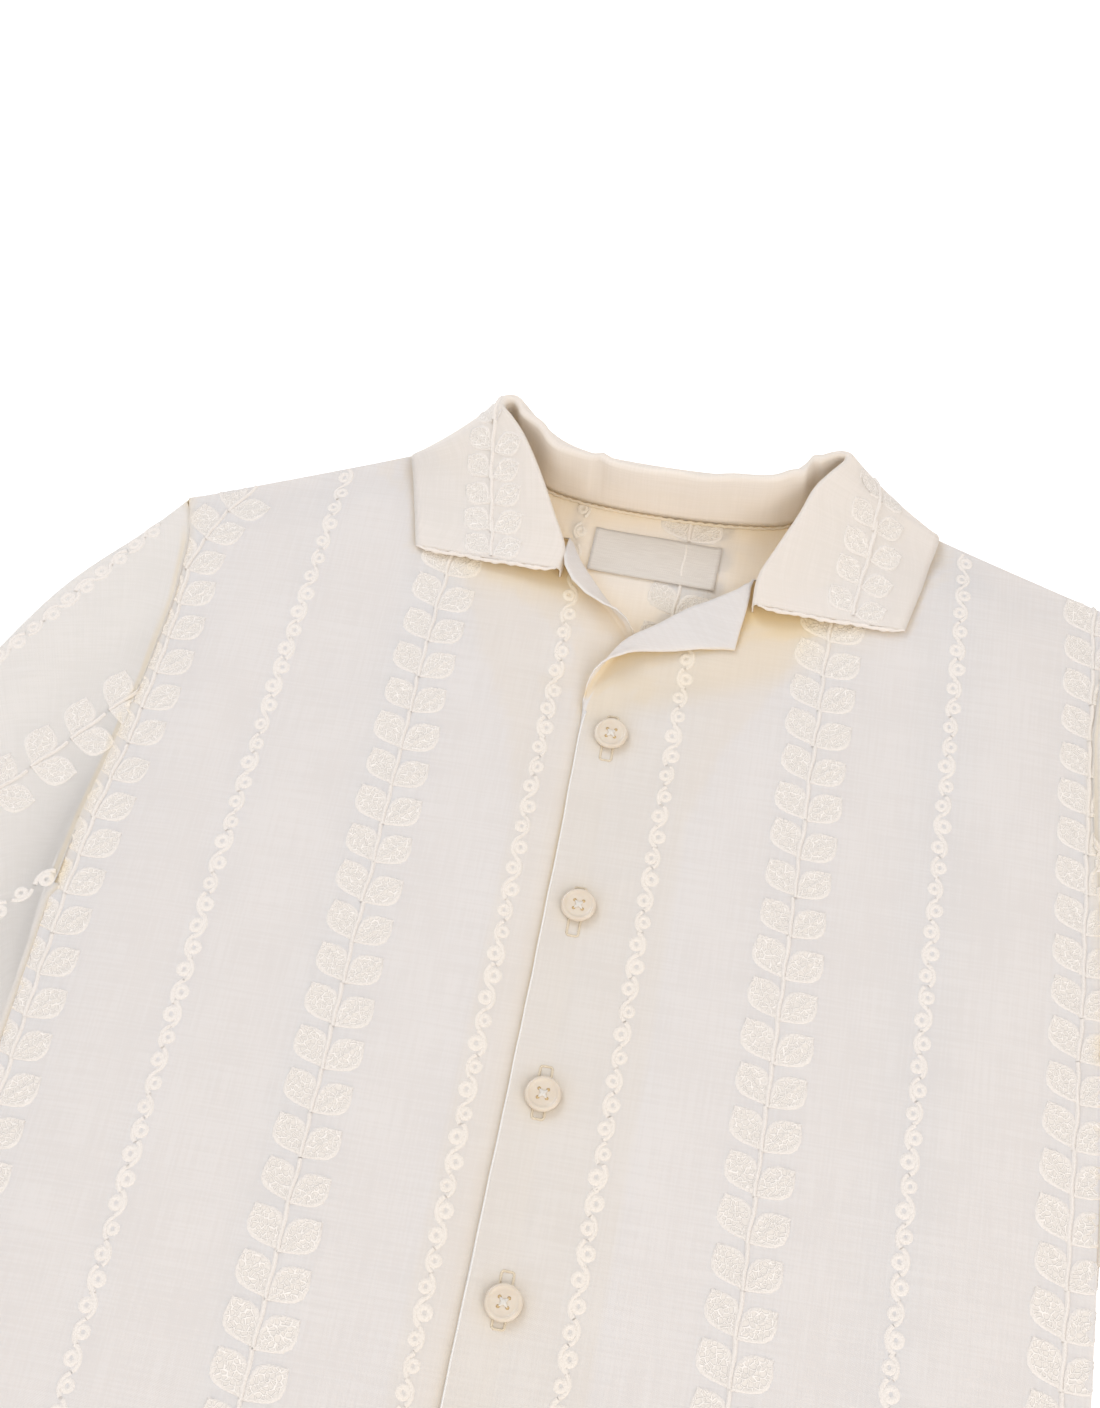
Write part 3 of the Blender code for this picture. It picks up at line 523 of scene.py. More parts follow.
def frontGrid(front, heightAt):
    table, side = front["rows"], front["side"]
    positions = []
    for step in range(len(table) - 1):
        parts = max(2, math.ceil(abs(table[step + 1][1] - table[step][1]) / body["rowSpacing"]))
        positions += [step + index / parts for index in range(parts)]
    positions.append(float(len(table) - 1))
    starts = []
    for position in positions:
        width, turn = along(table, position)[3:]
        starts.append((*smoothAlong(table, position)[:3], width, math.radians(turn)))

    rows, uvs = [], []
    for index, (xIn, yIn, yOut, width, turn) in enumerate(starts):
        before, after = starts[max(index - 2, 0)], starts[min(index + 2, len(starts) - 1)]
        run = Vector((after[0] - before[0], after[1] - before[1])).normalized()
        out = Vector((-run.y * side, run.x * side))
        hasLapel = width > 0.4
        radius = lapel["edge"]
        if not hasLapel and side > 0:
            radius = body["frontEdgeRadius"] * ease((30 - yIn) / 22) + 0.1
        base = Vector((xIn, yIn)) - out * (0 if hasLapel else radius)
        baseZ = heightAt(base.x, base.y)

        turned, heading = lapelSection(width, turn)
        line = [(base.x + out.x * o, base.y + out.y * o, baseZ + u) for o, u, far in turned]
        marks = [(base.x - side * far, base.y) for o, u, far in turned]
        endO, endU, endFar = turned[-1]
        for o, u in edgeCurl(heading, 1 if hasLapel else -1, radius, 4):
            line.append((base.x + out.x * (endO + o), base.y + out.y * (endO + o), baseZ + endU + u))
            marks.append((base.x - side * (endFar + abs(o) + abs(u)), base.y))
        line.reverse()
        marks.reverse()

        nearTop = ease((positions[index] - len(table) + 5) / 4)
        rim = body["rimRadius"]
        xOut = side * (sideX(yOut) - rim)
        for column in range(body["columns"] + 1):
            share = (column / body["columns"]) ** 1.5
            x = base.x + (xOut - base.x) * share
            y = base.y + (yOut - base.y) * share
            chordY = table[-1][1] + (table[-1][2] - table[-1][1]) * share
            if 0 < column < body["columns"]:
                y += (shoulderY(x) - chordY) * nearTop
            line.append((x, y, heightAt(x, y)))
            marks.append((x, y))
        x, y, z = line[-1]
        foot = body["foot"] + 1.1 * ease((yOut - body["armpitY"]) / 12)
        for o, u in edgeCurl(0, -1, rim, 4):
            line.append((x + side * o, y, z + u))
            marks.append((x + side * (o - u), y))
        line.append((x + side * rim, y, min(foot, z - rim)))
        marks.append((x + side * (rim * 2 + 2), y))
        rows.append(line)
        uvs.append(marks)

    topLine, topMarks = rows[-1], uvs[-1]  # the shoulder's edge turns down to meet the back
    for o, u in edgeCurl(0, -1, body["rimRadius"], 4) + [(body["rimRadius"], -9)]:
        rows.append([(x, y + o, max(body["foot"], z + u) if z > body["foot"] else z) for x, y, z in topLine])
        uvs.append([(x, y + o - u) for x, y in topMarks])
    return rows, uvs


def makeFront(name, node, front, heightAt):
    rows, uvs = frontGrid(front, heightAt)
    mesh = gridMesh(name, rows, uvs, shirtCloth, flip=front["side"] < 0)
    return clothPiece(name, mesh, body["wall"], node), mesh


leftPanel, leftMesh = makeFront("frontLeftCloth", "front_left", leftFront, clothZ)
rightPanel, rightMesh = makeFront("frontRightCloth", "front_right", rightFront, underZ)
print("fronts ready", len(leftMesh.polygons), len(rightMesh.polygons))


def backOutline():
    inset = backCloth["inset"]
    rightTip, leftTip = body["shoulderTip"][-1], body["shoulderTip"][1]
    points = [(-body["halfWidth"] + inset, body["hemY"])]
    points += [(-sideX(y) + inset, y) for y in np.linspace(body["armpitY"], rightTip[1], 16)[:-1]]
    points += [(rightTip[0] + inset, rightTip[1]), body["shoulderBend"][-1], body["neckPoint"][-1]]
    points += [(row[0], row[1] + 1.2) for row in collar["rows"] if row[2] < 0.5]
    points += [body["neckPoint"][1], body["shoulderBend"][1], (leftTip[0] - inset, leftTip[1])]
    points += [(sideX(y) - inset, y) for y in np.linspace(leftTip[1], body["armpitY"], 16)[1:]]
    points += [(body["halfWidth"] - inset, body["hemY"])]
    return points


def makeBack(name):
    # flat where it rests; its outer face stands just clear of the embroidery below it
    outline = backOutline()
    flat = bmesh.new()
    rim = [flat.verts.new(place(x, y, backCloth["outerZ"])) for x, y in outline]
    flat.faces.new(rim)
    bmesh.ops.triangulate(flat, faces=flat.faces[:])
    for way, first, last in (((1, 0, 0), -165, 166), ((0, 1, 0), -375, 113)):
        for far in np.arange(first, last, backCloth["gridStep"]):
            bmesh.ops.bisect_plane(flat, geom=flat.verts[:] + flat.edges[:] + flat.faces[:],
                                   plane_co=place(far, far, 0), plane_no=way)
    layer = flat.loops.layers.uv.new("cloth")
    for face in flat.faces:
        if face.normal.z > 0:
            face.normal_flip()
        for loop in face.loops:
            loop[layer].uv = loop.vert.co.xy
    mesh = meshFrom(flat, name, shirtCloth)
    mesh.shade_flat()
    return clothPiece(name, mesh, backCloth["wall"], "back"), mesh


backPanel, backMesh = makeBack("backCloth")


def sleeveEdges(side, across):
    tip = body["shoulderTip"][side]
    y = tip[1] + (body["armpitY"] - tip[1]) * across
    start = Vector((sideX(y) - sleeve["tuck"], y))
    end = Vector(sleeve["cuffOuter"]).lerp(Vector(sleeve["cuffInner"]), across)
    return start, end


def sleeveTopZ(point, squareToTop, topCorner, step, across):
    radius = sleeve["foldRadius"]
    if across in (0, 1):
        return 2 * radius
    fromTop = (point - topCorner).dot(squareToTop) - radius
    fromUnder = point.x - body["halfWidth"] - 2 * radius
    centre = ease(fromTop / 32) * max(ease(fromUnder / 32), ease(0.7 - across))
    cuff = 1 - 0.25 * ease((step - 0.8) / 0.2)
    armhole = 0.6 + 0.4 * ease(step / 0.2)
    folds = foldHeight(step, across, sleeve["folds"]) * ease(step / 0.15)
    return 2 * radius + (sleeve["loft"] * cuff * armhole + folds) * centre


def sleeveRing(side, step):
    radius = sleeve["foldRadius"]
    down = Vector((0, -1))
    topLine = Vector(sleeve["cuffOuter"]) - sleeveEdges(side, 0)[0]
    squareToTop = Vector((topLine.y, -topLine.x)).normalized()
    intoTop = down.lerp(squareToTop, ease(step / 0.3)).normalized()
    intoUnder = Vector((1, 0))
    bulge = sleeve["capBulge"] * math.sin(math.pi * min(1, step * 1.6)) ** 2
    count = sleeve["across"]
    line = []
    for index in range(count + 1):
        across = index / count
        start, end = sleeveEdges(side, across)
        point = start.lerp(end, step) - squareToTop * bulge * (1 - across) ** 3
        point += intoTop * radius * ease(1 - across * 8)
        if index == 0:
            point.x += radius * 0.6 * (1 - ease(step / 0.2))
        point += intoUnder * radius * ease((across - 0.5) / 0.45) * ease(step / 0.08)
        line.append(point)
    turns = [math.pi * index / (sleeve["foldSteps"] + 1) for index in range(1, sleeve["foldSteps"] + 1)]
    lift = backCloth["outerZ"]
    ring = [(point.x, point.y, lift) for point in line]
    for turn in turns:
        point = line[-1] - intoUnder * radius * math.sin(turn)
        ring.append((point.x, point.y, lift + (radius - lift / 2) * (1 - math.cos(turn))))
    hem = sleeve["hemStep"] * ease((step - 1 + sleeve["hemDepth"]) / 0.01)
    drop = sleeve["tuckDrop"] * (1 - ease(step / 0.07)) - hem
    for index in range(count, -1, -1):
        point, across = line[index], index / count
        z = sleeveTopZ(point, squareToTop, sleeveEdges(side, 0)[0], step, across)
        ring.append((point.x, point.y, z - drop * ease(min(across, 1 - across) * 12 + 0.2)))
    for turn in turns:
        point = line[0] - intoTop * radius * math.sin(turn)
        ring.append((point.x, point.y, lift + (radius - lift / 2) * (1 + math.cos(turn))))
    return [(side * x, y, z) for x, y, z in ring]


def makeSleeve(name, node, side):
    rings = [sleeveRing(side, ring / sleeve["rings"]) for ring in range(sleeve["rings"] + 1)]
    uvs = []
    for index, ring in enumerate(rings):
        length = 170 * index / sleeve["rings"]
        around = [0]
        for a, b in zip(ring, ring[1:] + ring[:1]):
            around.append(around[-1] + math.dist(a, b))
        uvs.append([(far, length) for far in around])
    mesh = gridMesh(name, rings, uvs, sleeveClothPaintedLight, closed=True, flip=side > 0)
    return clothPiece(name, mesh, sleeve["wall"], node), mesh


leftSleeve, leftSleeveMesh = makeSleeve("sleeveLeftCloth", "sleeve_left", 1)
rightSleeve, rightSleeveMesh = makeSleeve("sleeveRightCloth", "sleeve_right", -1)
print("sleeves ready")


def tangentAngle(point, radius, sign):
    heading = math.atan2(point[1], point[0])
    if sign < 0 and heading < 0:
        heading += 2 * math.pi
    return heading + sign * math.acos(min(1, radius / math.hypot(*point)))


def collarSection(position):
    row = smoothAlong(collar["rows"], position)
    seamX, seamY, onFront, foldX, foldY, topZ, edgeX, edgeY, edgeZ = row
    footZ = 1.5
    if onFront > 0:
        footZ += (frontZ(seamX, seamY) + 0.4 - footZ) * min(1, onFront)
    radius = collar["rollRadius"]
    seam = Vector((seamX, seamY, footZ))
    edge = Vector((edgeX, edgeY, edgeZ))
    out = Vector((edgeX - foldX, edgeY - foldY, 0)).normalized()
    centre = Vector((foldX, foldY, topZ - radius)) + out * radius

    def inSection(point):
        return (point - centre).dot(out), point.z - centre.z

    start = min(tangentAngle(inSection(seam), radius, -1), math.radians(200))
    end = tangentAngle(inSection(edge), radius, 1)
    up = Vector((0, 0, 1))
    arc = []
    for index in range(collar["rollSteps"] + 1):
        angle = start + (end - start) * index / collar["rollSteps"]
        arc.append(centre + (out * math.cos(angle) + up * math.sin(angle)) * radius)
    points = [seam.lerp(arc[0], index / collar["standSteps"]) for index in range(collar["standSteps"])]
    points += arc
    points += [arc[-1].lerp(edge, index / collar["fallSteps"]) for index in range(1, collar["fallSteps"] + 1)]

    # soft upright puckers in the stand at the back of the neck
    for column in range(1, collar["standSteps"] + collar["rollSteps"] + 1):
        share = min(1, column / collar["standSteps"])
        for where, spread, height in collar["puckers"]:
            push = height * math.exp(-((position - where) / spread) ** 2) * share * (1.3 - 0.5 * share)
            points[column] = points[column] - out * push * 0.6
    # the falls sag a little between the roll and the outer edge
    for index in range(collar["fallSteps"] + 1):
        share = index / collar["fallSteps"]
        points[-1 - collar["fallSteps"] + index].z -= 0.8 * math.sin(math.pi * share) * onFront
    return points


def makeCollar(name):
    last = len(collar["rows"]) - 1
    positions = [index / collar["perRow"] for index in range(last * collar["perRow"] + 1)]
    rows = [collarSection(position) for position in positions]
    uvs, length = [], 0
    foldColumn = collar["standSteps"] + collar["rollSteps"] // 2
    for index, line in enumerate(rows):
        if index:
            length += (line[foldColumn] - rows[index - 1][foldColumn]).length
        marks, far = [], 0
        for column, point in enumerate(line):
            far += (point - line[column - 1]).length if column else 0
            marks.append((length, far))
        uvs.append(marks)
    mesh = gridMesh(name, [[tuple(point) for point in line] for line in rows], uvs, collarCloth, flip=True)
    return clothPiece(name, mesh, collar["wall"], "collar"), mesh, rows


collarPiece, collarMesh, collarRows = makeCollar("collarCloth")
print("collar ready", len(collarMesh.polygons))


def tubeMesh(name, path, radii, material, sides=8):
    # a closed cord along points in millimetres, with a radius at each point
    rings = []
    for index, point in enumerate(path):
        before, after = path[max(index - 1, 0)], path[min(index + 1, len(path) - 1)]
        run = (Vector(after) - Vector(before)).normalized()
        across = run.cross(Vector((0, 0, 1))).normalized()
        up = across.cross(run)
        rings.append([Vector(point) + (across * math.cos(turn) + up * math.sin(turn)) * radii[index]
                      for turn in np.linspace(0, 2 * math.pi, sides, endpoint=False)])
    solid = bmesh.new()
    made = [[solid.verts.new(place(*spot)) for spot in ring] for ring in rings]
    for first, second in zip(made, made[1:]):
        for side in range(sides):
            following = (side + 1) % sides
            solid.faces.new((first[side], first[following], second[following], second[side]))
    solid.faces.new(made[0][::-1])
    solid.faces.new(made[-1])
    bmesh.ops.recalc_face_normals(solid, faces=solid.faces)
    return meshFrom(solid, name, material)


def wave(value, *parts):  # an uneven wave: a few sines of unlike lengths
    return sum(size * math.sin(value / length + start) for size, length, start in parts)


def refine(path, spacing):
    fine = []
    for a, b in zip(path, path[1:]):
        a, b = Vector(a), Vector(b)
        parts = max(1, round((b - a).length / spacing))
        fine += [a.lerp(b, index / parts) for index in range(parts)]
    return fine + [Vector(path[-1])]


def makeLip(name, line):
    # the puckered, turned edge at a collar end
    path = refine(line, 0.8)
    spots, radii = [], []
    for index, point in enumerate(path):
        far = index * 0.8
        ends = min(1, 0.4 + min(index, len(path) - 1 - index) * 0.1)
        radii.append((collar["lipRadius"] + wave(far, (0.1, 0.55, 0.3), (0.1, 1.3, 1.1))) * ends)
        spots.append(point + Vector((0, wave(far, (0.14, 0.8, 0), (0.2, 3.1, 2)) - collar["lipOut"] * ends,
                                     wave(far, (0.14, 1.1, 0.6)) - 0.45)))
    return show(linkPiece(name, tubeMesh(name, spots, radii, collarCloth)), "shirt_cloth")


fallStart = collar["standSteps"] + collar["rollSteps"]
collarLips = [makeLip("collarEndRight", [tuple(point) for point in collarRows[0][fallStart:]]),
              makeLip("collarEndLeft", [tuple(point) for point in collarRows[-1][fallStart:]])]


def makeNeckSeam(name):
    # the piped seam at the foot of the stand, in amber cloth that paints the shade along it
    first, last = 7 * collar["perRow"], 23 * collar["perRow"]
    spots, radii = [], []
    for index, point in enumerate(refine([tuple(rows[0]) for rows in collarRows[first:last + 1]], 0.9)):
        stitch = index * 2 * math.pi / 3.4
        radii.append(0.55 + 0.14 * math.sin(stitch))
        spots.append(point + Vector((0, -0.9 + 0.25 * math.sin(stitch + 0.8), 0.3)))
    return show(linkPiece(name, tubeMesh(name, spots, radii, seamClothPaintedShade)), "shirt_cloth")


def makeFrontEdgeHighlight(name):
    # the pressed edge of the upper front: a cord of brighter thread, a painted highlight where the edge
    # catches the light
    spots = []
    for y in np.arange(body["hemY"] + 0.6, 10, 2.5):
        x = overEdgeX(y) + 0.42
        spots.append((x + wave(y, (0.05, 3, 0), (0.06, 7.5, 1)), y, clothZ(x, y) - 0.16))
    return show(linkPiece(name, tubeMesh(name, spots, [0.36] * len(spots), edgeCottonHighlight, 6)), "shirt_cloth")


neckSeam = makeNeckSeam("neckSeam")
frontEdge = makeFrontEdgeHighlight("frontEdge")

paintedShadeLook = {  # painted shade on the cloth: how far it is tinted amber where it is closed in, under the collar's ends, over the facing and so on
    "reach": 26, "clear": 0.8, "closed": 0.6, "closedCollar": 0.14, "collar": 0.03, "end": 0.42,
    "facing": 0.13, "hem": 0.5, "armhole": 0.34, "edge": 0.12, "roll": 0.26, "button": 0.4,
    "ends": {1: (40.4, 94, 57.5), -1: (-27.9, -81, 61)},  # a collar end's inner x, outer x and y
}


def facingGlowMask(x, y):  # the folded-back front edge and the hem lie under the outer cloth; over them a faint painted amber glow of light through the doubled cloth
    edge = float(np.interp(y, [point[0] for point in body["facing"]], [point[1] for point in body["facing"]]))
    facing = ease((edge - abs(x - 1)) / 3) * (0.75 + 0.25 * ease((11 - abs(x + 5.5)) / 6))
    return max(facing, paintedShadeLook["hem"] * ease((body["hemY"] + body["hemDepth"] - y) / 1.5))


def edgeShadowMask(x, y):  # the strip of the under front along the edge of the upper one, where a painted shadow falls
    beside = overEdgeX(y) - x
    return math.exp(-(beside / 3.2) ** 2) if y < 34 else 0


def rollShadeMask(x, y):  # painted shade in the corner where the upper front rises to its lapel
    return ease((y - 2 - (x - 2) * 0.45) / 14) * ease((y + 3) / 10) * ease((74 - x) / 24)


def endShadeMask(x, y):  # painted shade under the collar's two ends
    inner, outer, lineY = paintedShadeLook["ends"][1 if x > 0 else -1]
    share = (x - inner) / (outer - inner)
    return math.exp(-(max(0, lineY - y) / 9) ** 2) * ease((share + 0.35) / 0.3) * ease((1.05 - share) / 0.8)


# painted contact shadow round each button
def buttonShadowMask(x, y):
    return sum(math.exp(-((x - spotX) ** 2 + (y - spotY) ** 2) / 49) for spotX, spotY, foot in buttonSpots)


buttonSpots = []  # x, y and foot of each button
for number in range(1, button["count"] + 1):
    low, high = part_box("button_%d" % number)
    middle = (low + high) / 2 / mm
    buttonSpots.append((middle.x, middle.y + middleY, low.z / mm))


def paintShade(meshes, fronts, back):
    # painted shade: where other cloth closes in over a point, its colour is tinted amber in place of the
    # light that would reach it only warm, through cloth
    spots, faces = [], []
    for mesh in meshes:
        faces += [[corner + len(spots) for corner in polygon.vertices] for polygon in mesh.polygons]
        spots += [vertex.co.copy() for vertex in mesh.vertices]
    tree = BVHTree.FromPolygons(spots, faces)
    ways = [Vector((math.sin(tilt) * math.cos(turn), math.sin(tilt) * math.sin(turn), math.cos(tilt)))
            for tilt, count in ((0.35, 3), (0.85, 5), (1.25, 6))
            for turn in np.linspace(0.3, 0.3 + 2 * math.pi, count, endpoint=False)]
    for mesh in meshes:
        paintedShade = mesh.attributes.new("paintedShade", "FLOAT", "POINT")
        for vertex, value in zip(mesh.vertices, paintedShade.data):
            inside = mesh == back or (mesh in fronts and vertex.normal.z < -0.2)
            normal = -vertex.normal if inside else vertex.normal
            toNormal = Vector((0, 0, 1)).rotation_difference(normal)
            start = vertex.co + normal * ((paintedShadeLook["clear"] + (backCloth["wall"] if inside else 0)) * mm)
            closed = sum(tree.ray_cast(start, toNormal @ way, paintedShadeLook["reach"] * mm)[0] is not None
                         for way in ways) / len(ways)
            total = paintedShadeLook["closedCollar" if mesh == meshes[-1] else "closed"] * closed ** 0.8
            x, y = vertex.co.x / mm, vertex.co.y / mm + middleY
            if mesh in fronts:
                if not inside:
                    total += paintedShadeLook["facing"] * facingGlowMask(x, y) + paintedShadeLook["end"] * endShadeMask(x, y)
                if mesh == fronts[1]:
                    total += paintedShadeLook["edge"] * edgeShadowMask(x, y)
                elif x < overEdgeX(y) + 0.5 and y < 14:
                    total = 0
                elif not inside:
                    total += paintedShadeLook["roll"] * rollShadeMask(x, y) + paintedShadeLook["button"] * buttonShadowMask(x, y)
                if vertex.co.z / mm > frontZ(x, y) + 1.4:
                    total *= 0.25
            # painted: a faint amber tint on the raised collar for light through its doubled cloth
            elif mesh != back and vertex.co.z > 0.011:
                total += paintedShadeLook["collar"]
            # painted shade: a thin amber line along the armhole seam
            if mesh not in (back, meshes[-1]) and y > body["armpitY"]:
                total += paintedShadeLook["armhole"] * ease((1.2 - abs(abs(x) - sideX(y))) / 0.7)
            value.value = min(1, total)


paintShade([leftMesh, rightMesh, backMesh, leftSleeveMesh, rightSleeveMesh, collarMesh],
           [leftMesh, rightMesh], backMesh)
print("warmth ready")


def makeLabel(name):
    turn = math.radians(label["turn"])
    columns, lines = label["columns"], label["lines"]
    rows, uvs = [], []
    for line in range(lines + 1):
        v = (line / lines - 0.5) * label["depth"]
        points, marks = [], []
        for column in range(columns + 1):
            u = (column / columns - 0.5) * label["width"]
            atEnd = ease((abs(u) - label["width"] / 2 + 5) / 5)
            atFoot = ease((-v - label["depth"] / 2 + 5) / 5)
            lift = label["lift"] * max(0.55 * atEnd, atFoot * (0.75 + 0.25 * atEnd))
            lift += 0.12 * math.sin(u / 6 + 0.8)
            x = label["centre"][0] + u * math.cos(turn) - v * math.sin(turn)
            y = label["centre"][1] + u * math.sin(turn) + v * math.cos(turn)
            points.append((x, y, backCloth["innerZ"] + label["thickness"] + 0.15 + lift))
            marks.append((u, v))
        rows.append(points)
        uvs.append(marks)
    mesh = gridMesh(name, rows, uvs, labelTape)
    return clothPiece(name, mesh, label["thickness"], "label", "label_tape")


labelPiece = makeLabel("labelTape")


def lathe(profile, steps):
    solid = bmesh.new()
    foot, top = [solid.verts.new((0, 0, z * mm)) for radius, z in (profile[0], profile[-1])]
    rings = [[solid.verts.new((radius * mm * math.cos(turn), radius * mm * math.sin(turn), z * mm))
              for turn in np.linspace(0, 2 * math.pi, steps, endpoint=False)] for radius, z in profile[1:-1]]
    for side in range(steps):
        following = (side + 1) % steps
        solid.faces.new((foot, rings[0][following], rings[0][side]))
        solid.faces.new((top, rings[-1][side], rings[-1][following]))
        for low, high in zip(rings, rings[1:]):
            solid.faces.new((low[side], low[following], high[following], high[side]))
    bmesh.ops.recalc_face_normals(solid, faces=solid.faces)
    return solid


def addPins(solid, radius, depth, sides, centre, lift=0):
    # four short pins on the ring of the holes
    made = []
    for index in range(4):
        turn = math.radians(45 + 90 * index)
        pin = bmesh.ops.create_cone(solid, cap_ends=True, segments=sides, radius1=radius * mm,
                                    radius2=radius * mm, depth=depth * mm)["verts"]
        spot = Vector((math.cos(turn), math.sin(turn), 0)) * button["holeRing"] * mm
        bmesh.ops.translate(solid, verts=pin, vec=centre + spot + Vector((0, 0, lift * mm)))
        made += pin
    return made


def turnedButton():
    radius, height = button["radius"], button["height"]
    rim = [(0.8, 2.1), (0.25, 1.7), (0, 1.15), (0.04, 0.75), (0.2, 0.3), (0.5, 0.06), (0.85, 0),
           (1.15, 0.08), (1.4, 0.26), (1.65, 0.4), (2.1, 0.47)]  # inwards and down from the rim's top
    profile = [(0, 0), (radius - 1.8, 0)] + [(radius - inward, height - down) for inward, down in rim]
    profile += [(1.2, height - 0.52), (0, height - 0.52)]
    blank = linkPiece("turnedButton", meshFrom(lathe(profile, button["steps"]), "turnedButton"))
    solid = bmesh.new()
    addPins(solid, button["hole"], 20, 12, Vector())
    pins = linkPiece("holePins", meshFrom(solid, "holePins"))
    holes = blank.modifiers.new("holes", "BOOLEAN")
    holes.operation, holes.solver, holes.object = "DIFFERENCE", "EXACT", pins
    made = bpy.data.meshes.new_from_object(blank.evaluated_get(bpy.context.evaluated_depsgraph_get()))
    bpy.data.objects.remove(blank)
    bpy.data.objects.remove(pins)
    made.materials.clear()
    made.materials.append(buttonPlastic)
    made.shade_smooth()
    made.set_sharp_from_angle(angle=math.radians(40))
    return made


def addTube(solid, *tube):
    cord = tubeMesh("cord", *tube)
    solid.from_mesh(cord)
    bpy.data.meshes.remove(cord)


def buttonThread(spotX, spotY, topZ):
    # two crossed stitches of three cords, which meet in a small knot over the middle
    joined = bmesh.new()
    shares = [step / 4 - 1 for step in range(9)]
    for turn in (math.radians(45), math.radians(135)):
        for strand in (-0.42, 0, 0.42):
            path = []
            for share in shares:
                reach = share * button["holeRing"] * 0.98
                beside = strand * (1 - 0.95 * abs(share))
                x = spotX + reach * math.cos(turn) - beside * math.sin(turn)
                y = spotY + reach * math.sin(turn) + beside * math.cos(turn)
                arch = 0.6 * math.sqrt(max(0, 1 - share * share)) + (0.12 if turn > 1 else 0)
                path.append((x, y, topZ - 0.4 + arch + (0.1 if strand == 0 else 0)))
            addTube(joined, path, [0.12 + 0.2 * (1 - abs(share)) for share in shares], seamCotton, 6)
    # the thread seen down in the holes, in a dark amber that paints the shade inside them
    for vertex in addPins(joined, button["hole"] * 0.97, 1, 10, place(spotX, spotY, topZ), -0.52):
        for face in vertex.link_faces:
            face.material_index = 1
    return meshFrom(joined, "buttonThread", seamCotton, holeCottonPaintedShade)


def makeButtons():
    blank = turnedButton()
    for number, (x, y, foot) in enumerate(buttonSpots, 1):
        mesh = blank.copy()
        for vertex in mesh.vertices:
            vertex.co += place(x, y, foot - 0.2)
        show(linkPiece("shirtButton%d" % number, mesh), "button_plastic", "button_%d" % number)
        thread = buttonThread(x, y, foot + button["height"] - 0.72)
        show(linkPiece("buttonThread%d" % number, thread), None)


def makeButtonholes(name):
    # a closely stitched slit under each button; only its ends show. Its amber thread paints the shade lines
    # along the stitching.
    joined = bmesh.new()
    half, reach = button["slitWidth"] / 2, button["slit"] / 2
    corners = [(-half, -reach + 0.6), (-half, reach - 0.6), (-half + 0.5, reach), (half - 0.5, reach),
               (half, reach - 0.6), (half, -reach + 0.6), (half - 0.5, -reach), (-half + 0.5, -reach),
               (-half, -reach + 0.6)]
    for (spotX, spotY, foot), slitY in zip(buttonSpots, button["slitY"]):
        path = refine([(spotX + button["slitX"] + x, spotY + slitY + y, 0) for x, y in corners], 0.36)
        path = [(spot.x + 0.05 * math.sin(7 * spot.y), spot.y, clothZ(spot.x, spot.y) + 0.02)
                for spot in path]
        addTube(joined, path, [0.42 if step % 2 else 0.34 for step in range(len(path))], slitCottonPaintedShade, 6)
    return show(linkPiece(name, meshFrom(joined, name, slitCottonPaintedShade)), None)


makeButtons()
makeButtonholes("buttonholeStitches")
print("buttons ready")


def stitchMesh(name, grids):
    # grids of (x, y, lift, fill) in millimetres; the lift is kept for laying the stitch on the cloth
    solid = bmesh.new()
    layer = solid.loops.layers.uv.new("thread")
    lift = solid.verts.layers.float.new("lift")
    fill = solid.verts.layers.float.new("fill")
    for rows, closed in grids:
        made = []
        for row in rows:
            line = []
            for x, y, z, inside in row:
                vertex = solid.verts.new((x * mm, y * mm, z * mm))
                vertex[lift], vertex[fill] = z * mm, inside
                line.append(vertex)
            made.append(line)
        pairs = list(zip(made, made[1:])) + ([(made[-1], made[0])] if closed else [])
        for first, second in pairs:
            for column in range(len(first) - 1):
                solid.faces.new((first[column], first[column + 1], second[column + 1], second[column]))
    for face in solid.faces:
        if face.normal.z < 0:
            face.normal_flip()
        for loop in face.loops:
            loop[layer].uv = loop.vert.co.xy
    return linkPiece(name, meshFrom(solid, name))


def leafGrid(rootX, rootY, lean, length, halfWidth):
    # one leaf: a cord round it, a midrib, and the net between them
    thread, lift = leafStitch["thread"], leafStitch["lift"]
    rows = []
    for share in (-0.03, 0, 0.1, 0.25, 0.42, 0.6, 0.78, 0.92, 1, 1.035):
        inside = min(1, max(0, share))
        half = halfWidth * max(0, math.sin(math.pi * inside ** 1.16)) ** 0.9
        low = lift if 0 <= share <= 1 else 0
        middle = 0.12 if 0 < share < 1 else low
        net = 1 if 0 < share < 1 else 0
        profile = [(-half - thread, 0, 0), (-half, low, 0), (-half * 0.9 + thread, middle, net),
                   (-0.3, middle, net), (0, max(low * 0.7, middle), 0), (0.3, middle, net),
                   (half * 0.9 - thread, middle, net), (half, low, 0), (half + thread, 0, 0)]
        if half < thread * 1.6:  # at the root and the tip the cords run together
            spread = (half + thread) / 4
            profile = [(spread * (index - 4), z, inner) for index, (x, z, inner) in enumerate(profile)]
        y = share * length
        rows.append([(rootX + x * math.cos(lean) + y * math.sin(lean),
                      rootY - x * math.sin(lean) + y * math.cos(lean), z, inner) for x, z, inner in profile])
    return rows, False


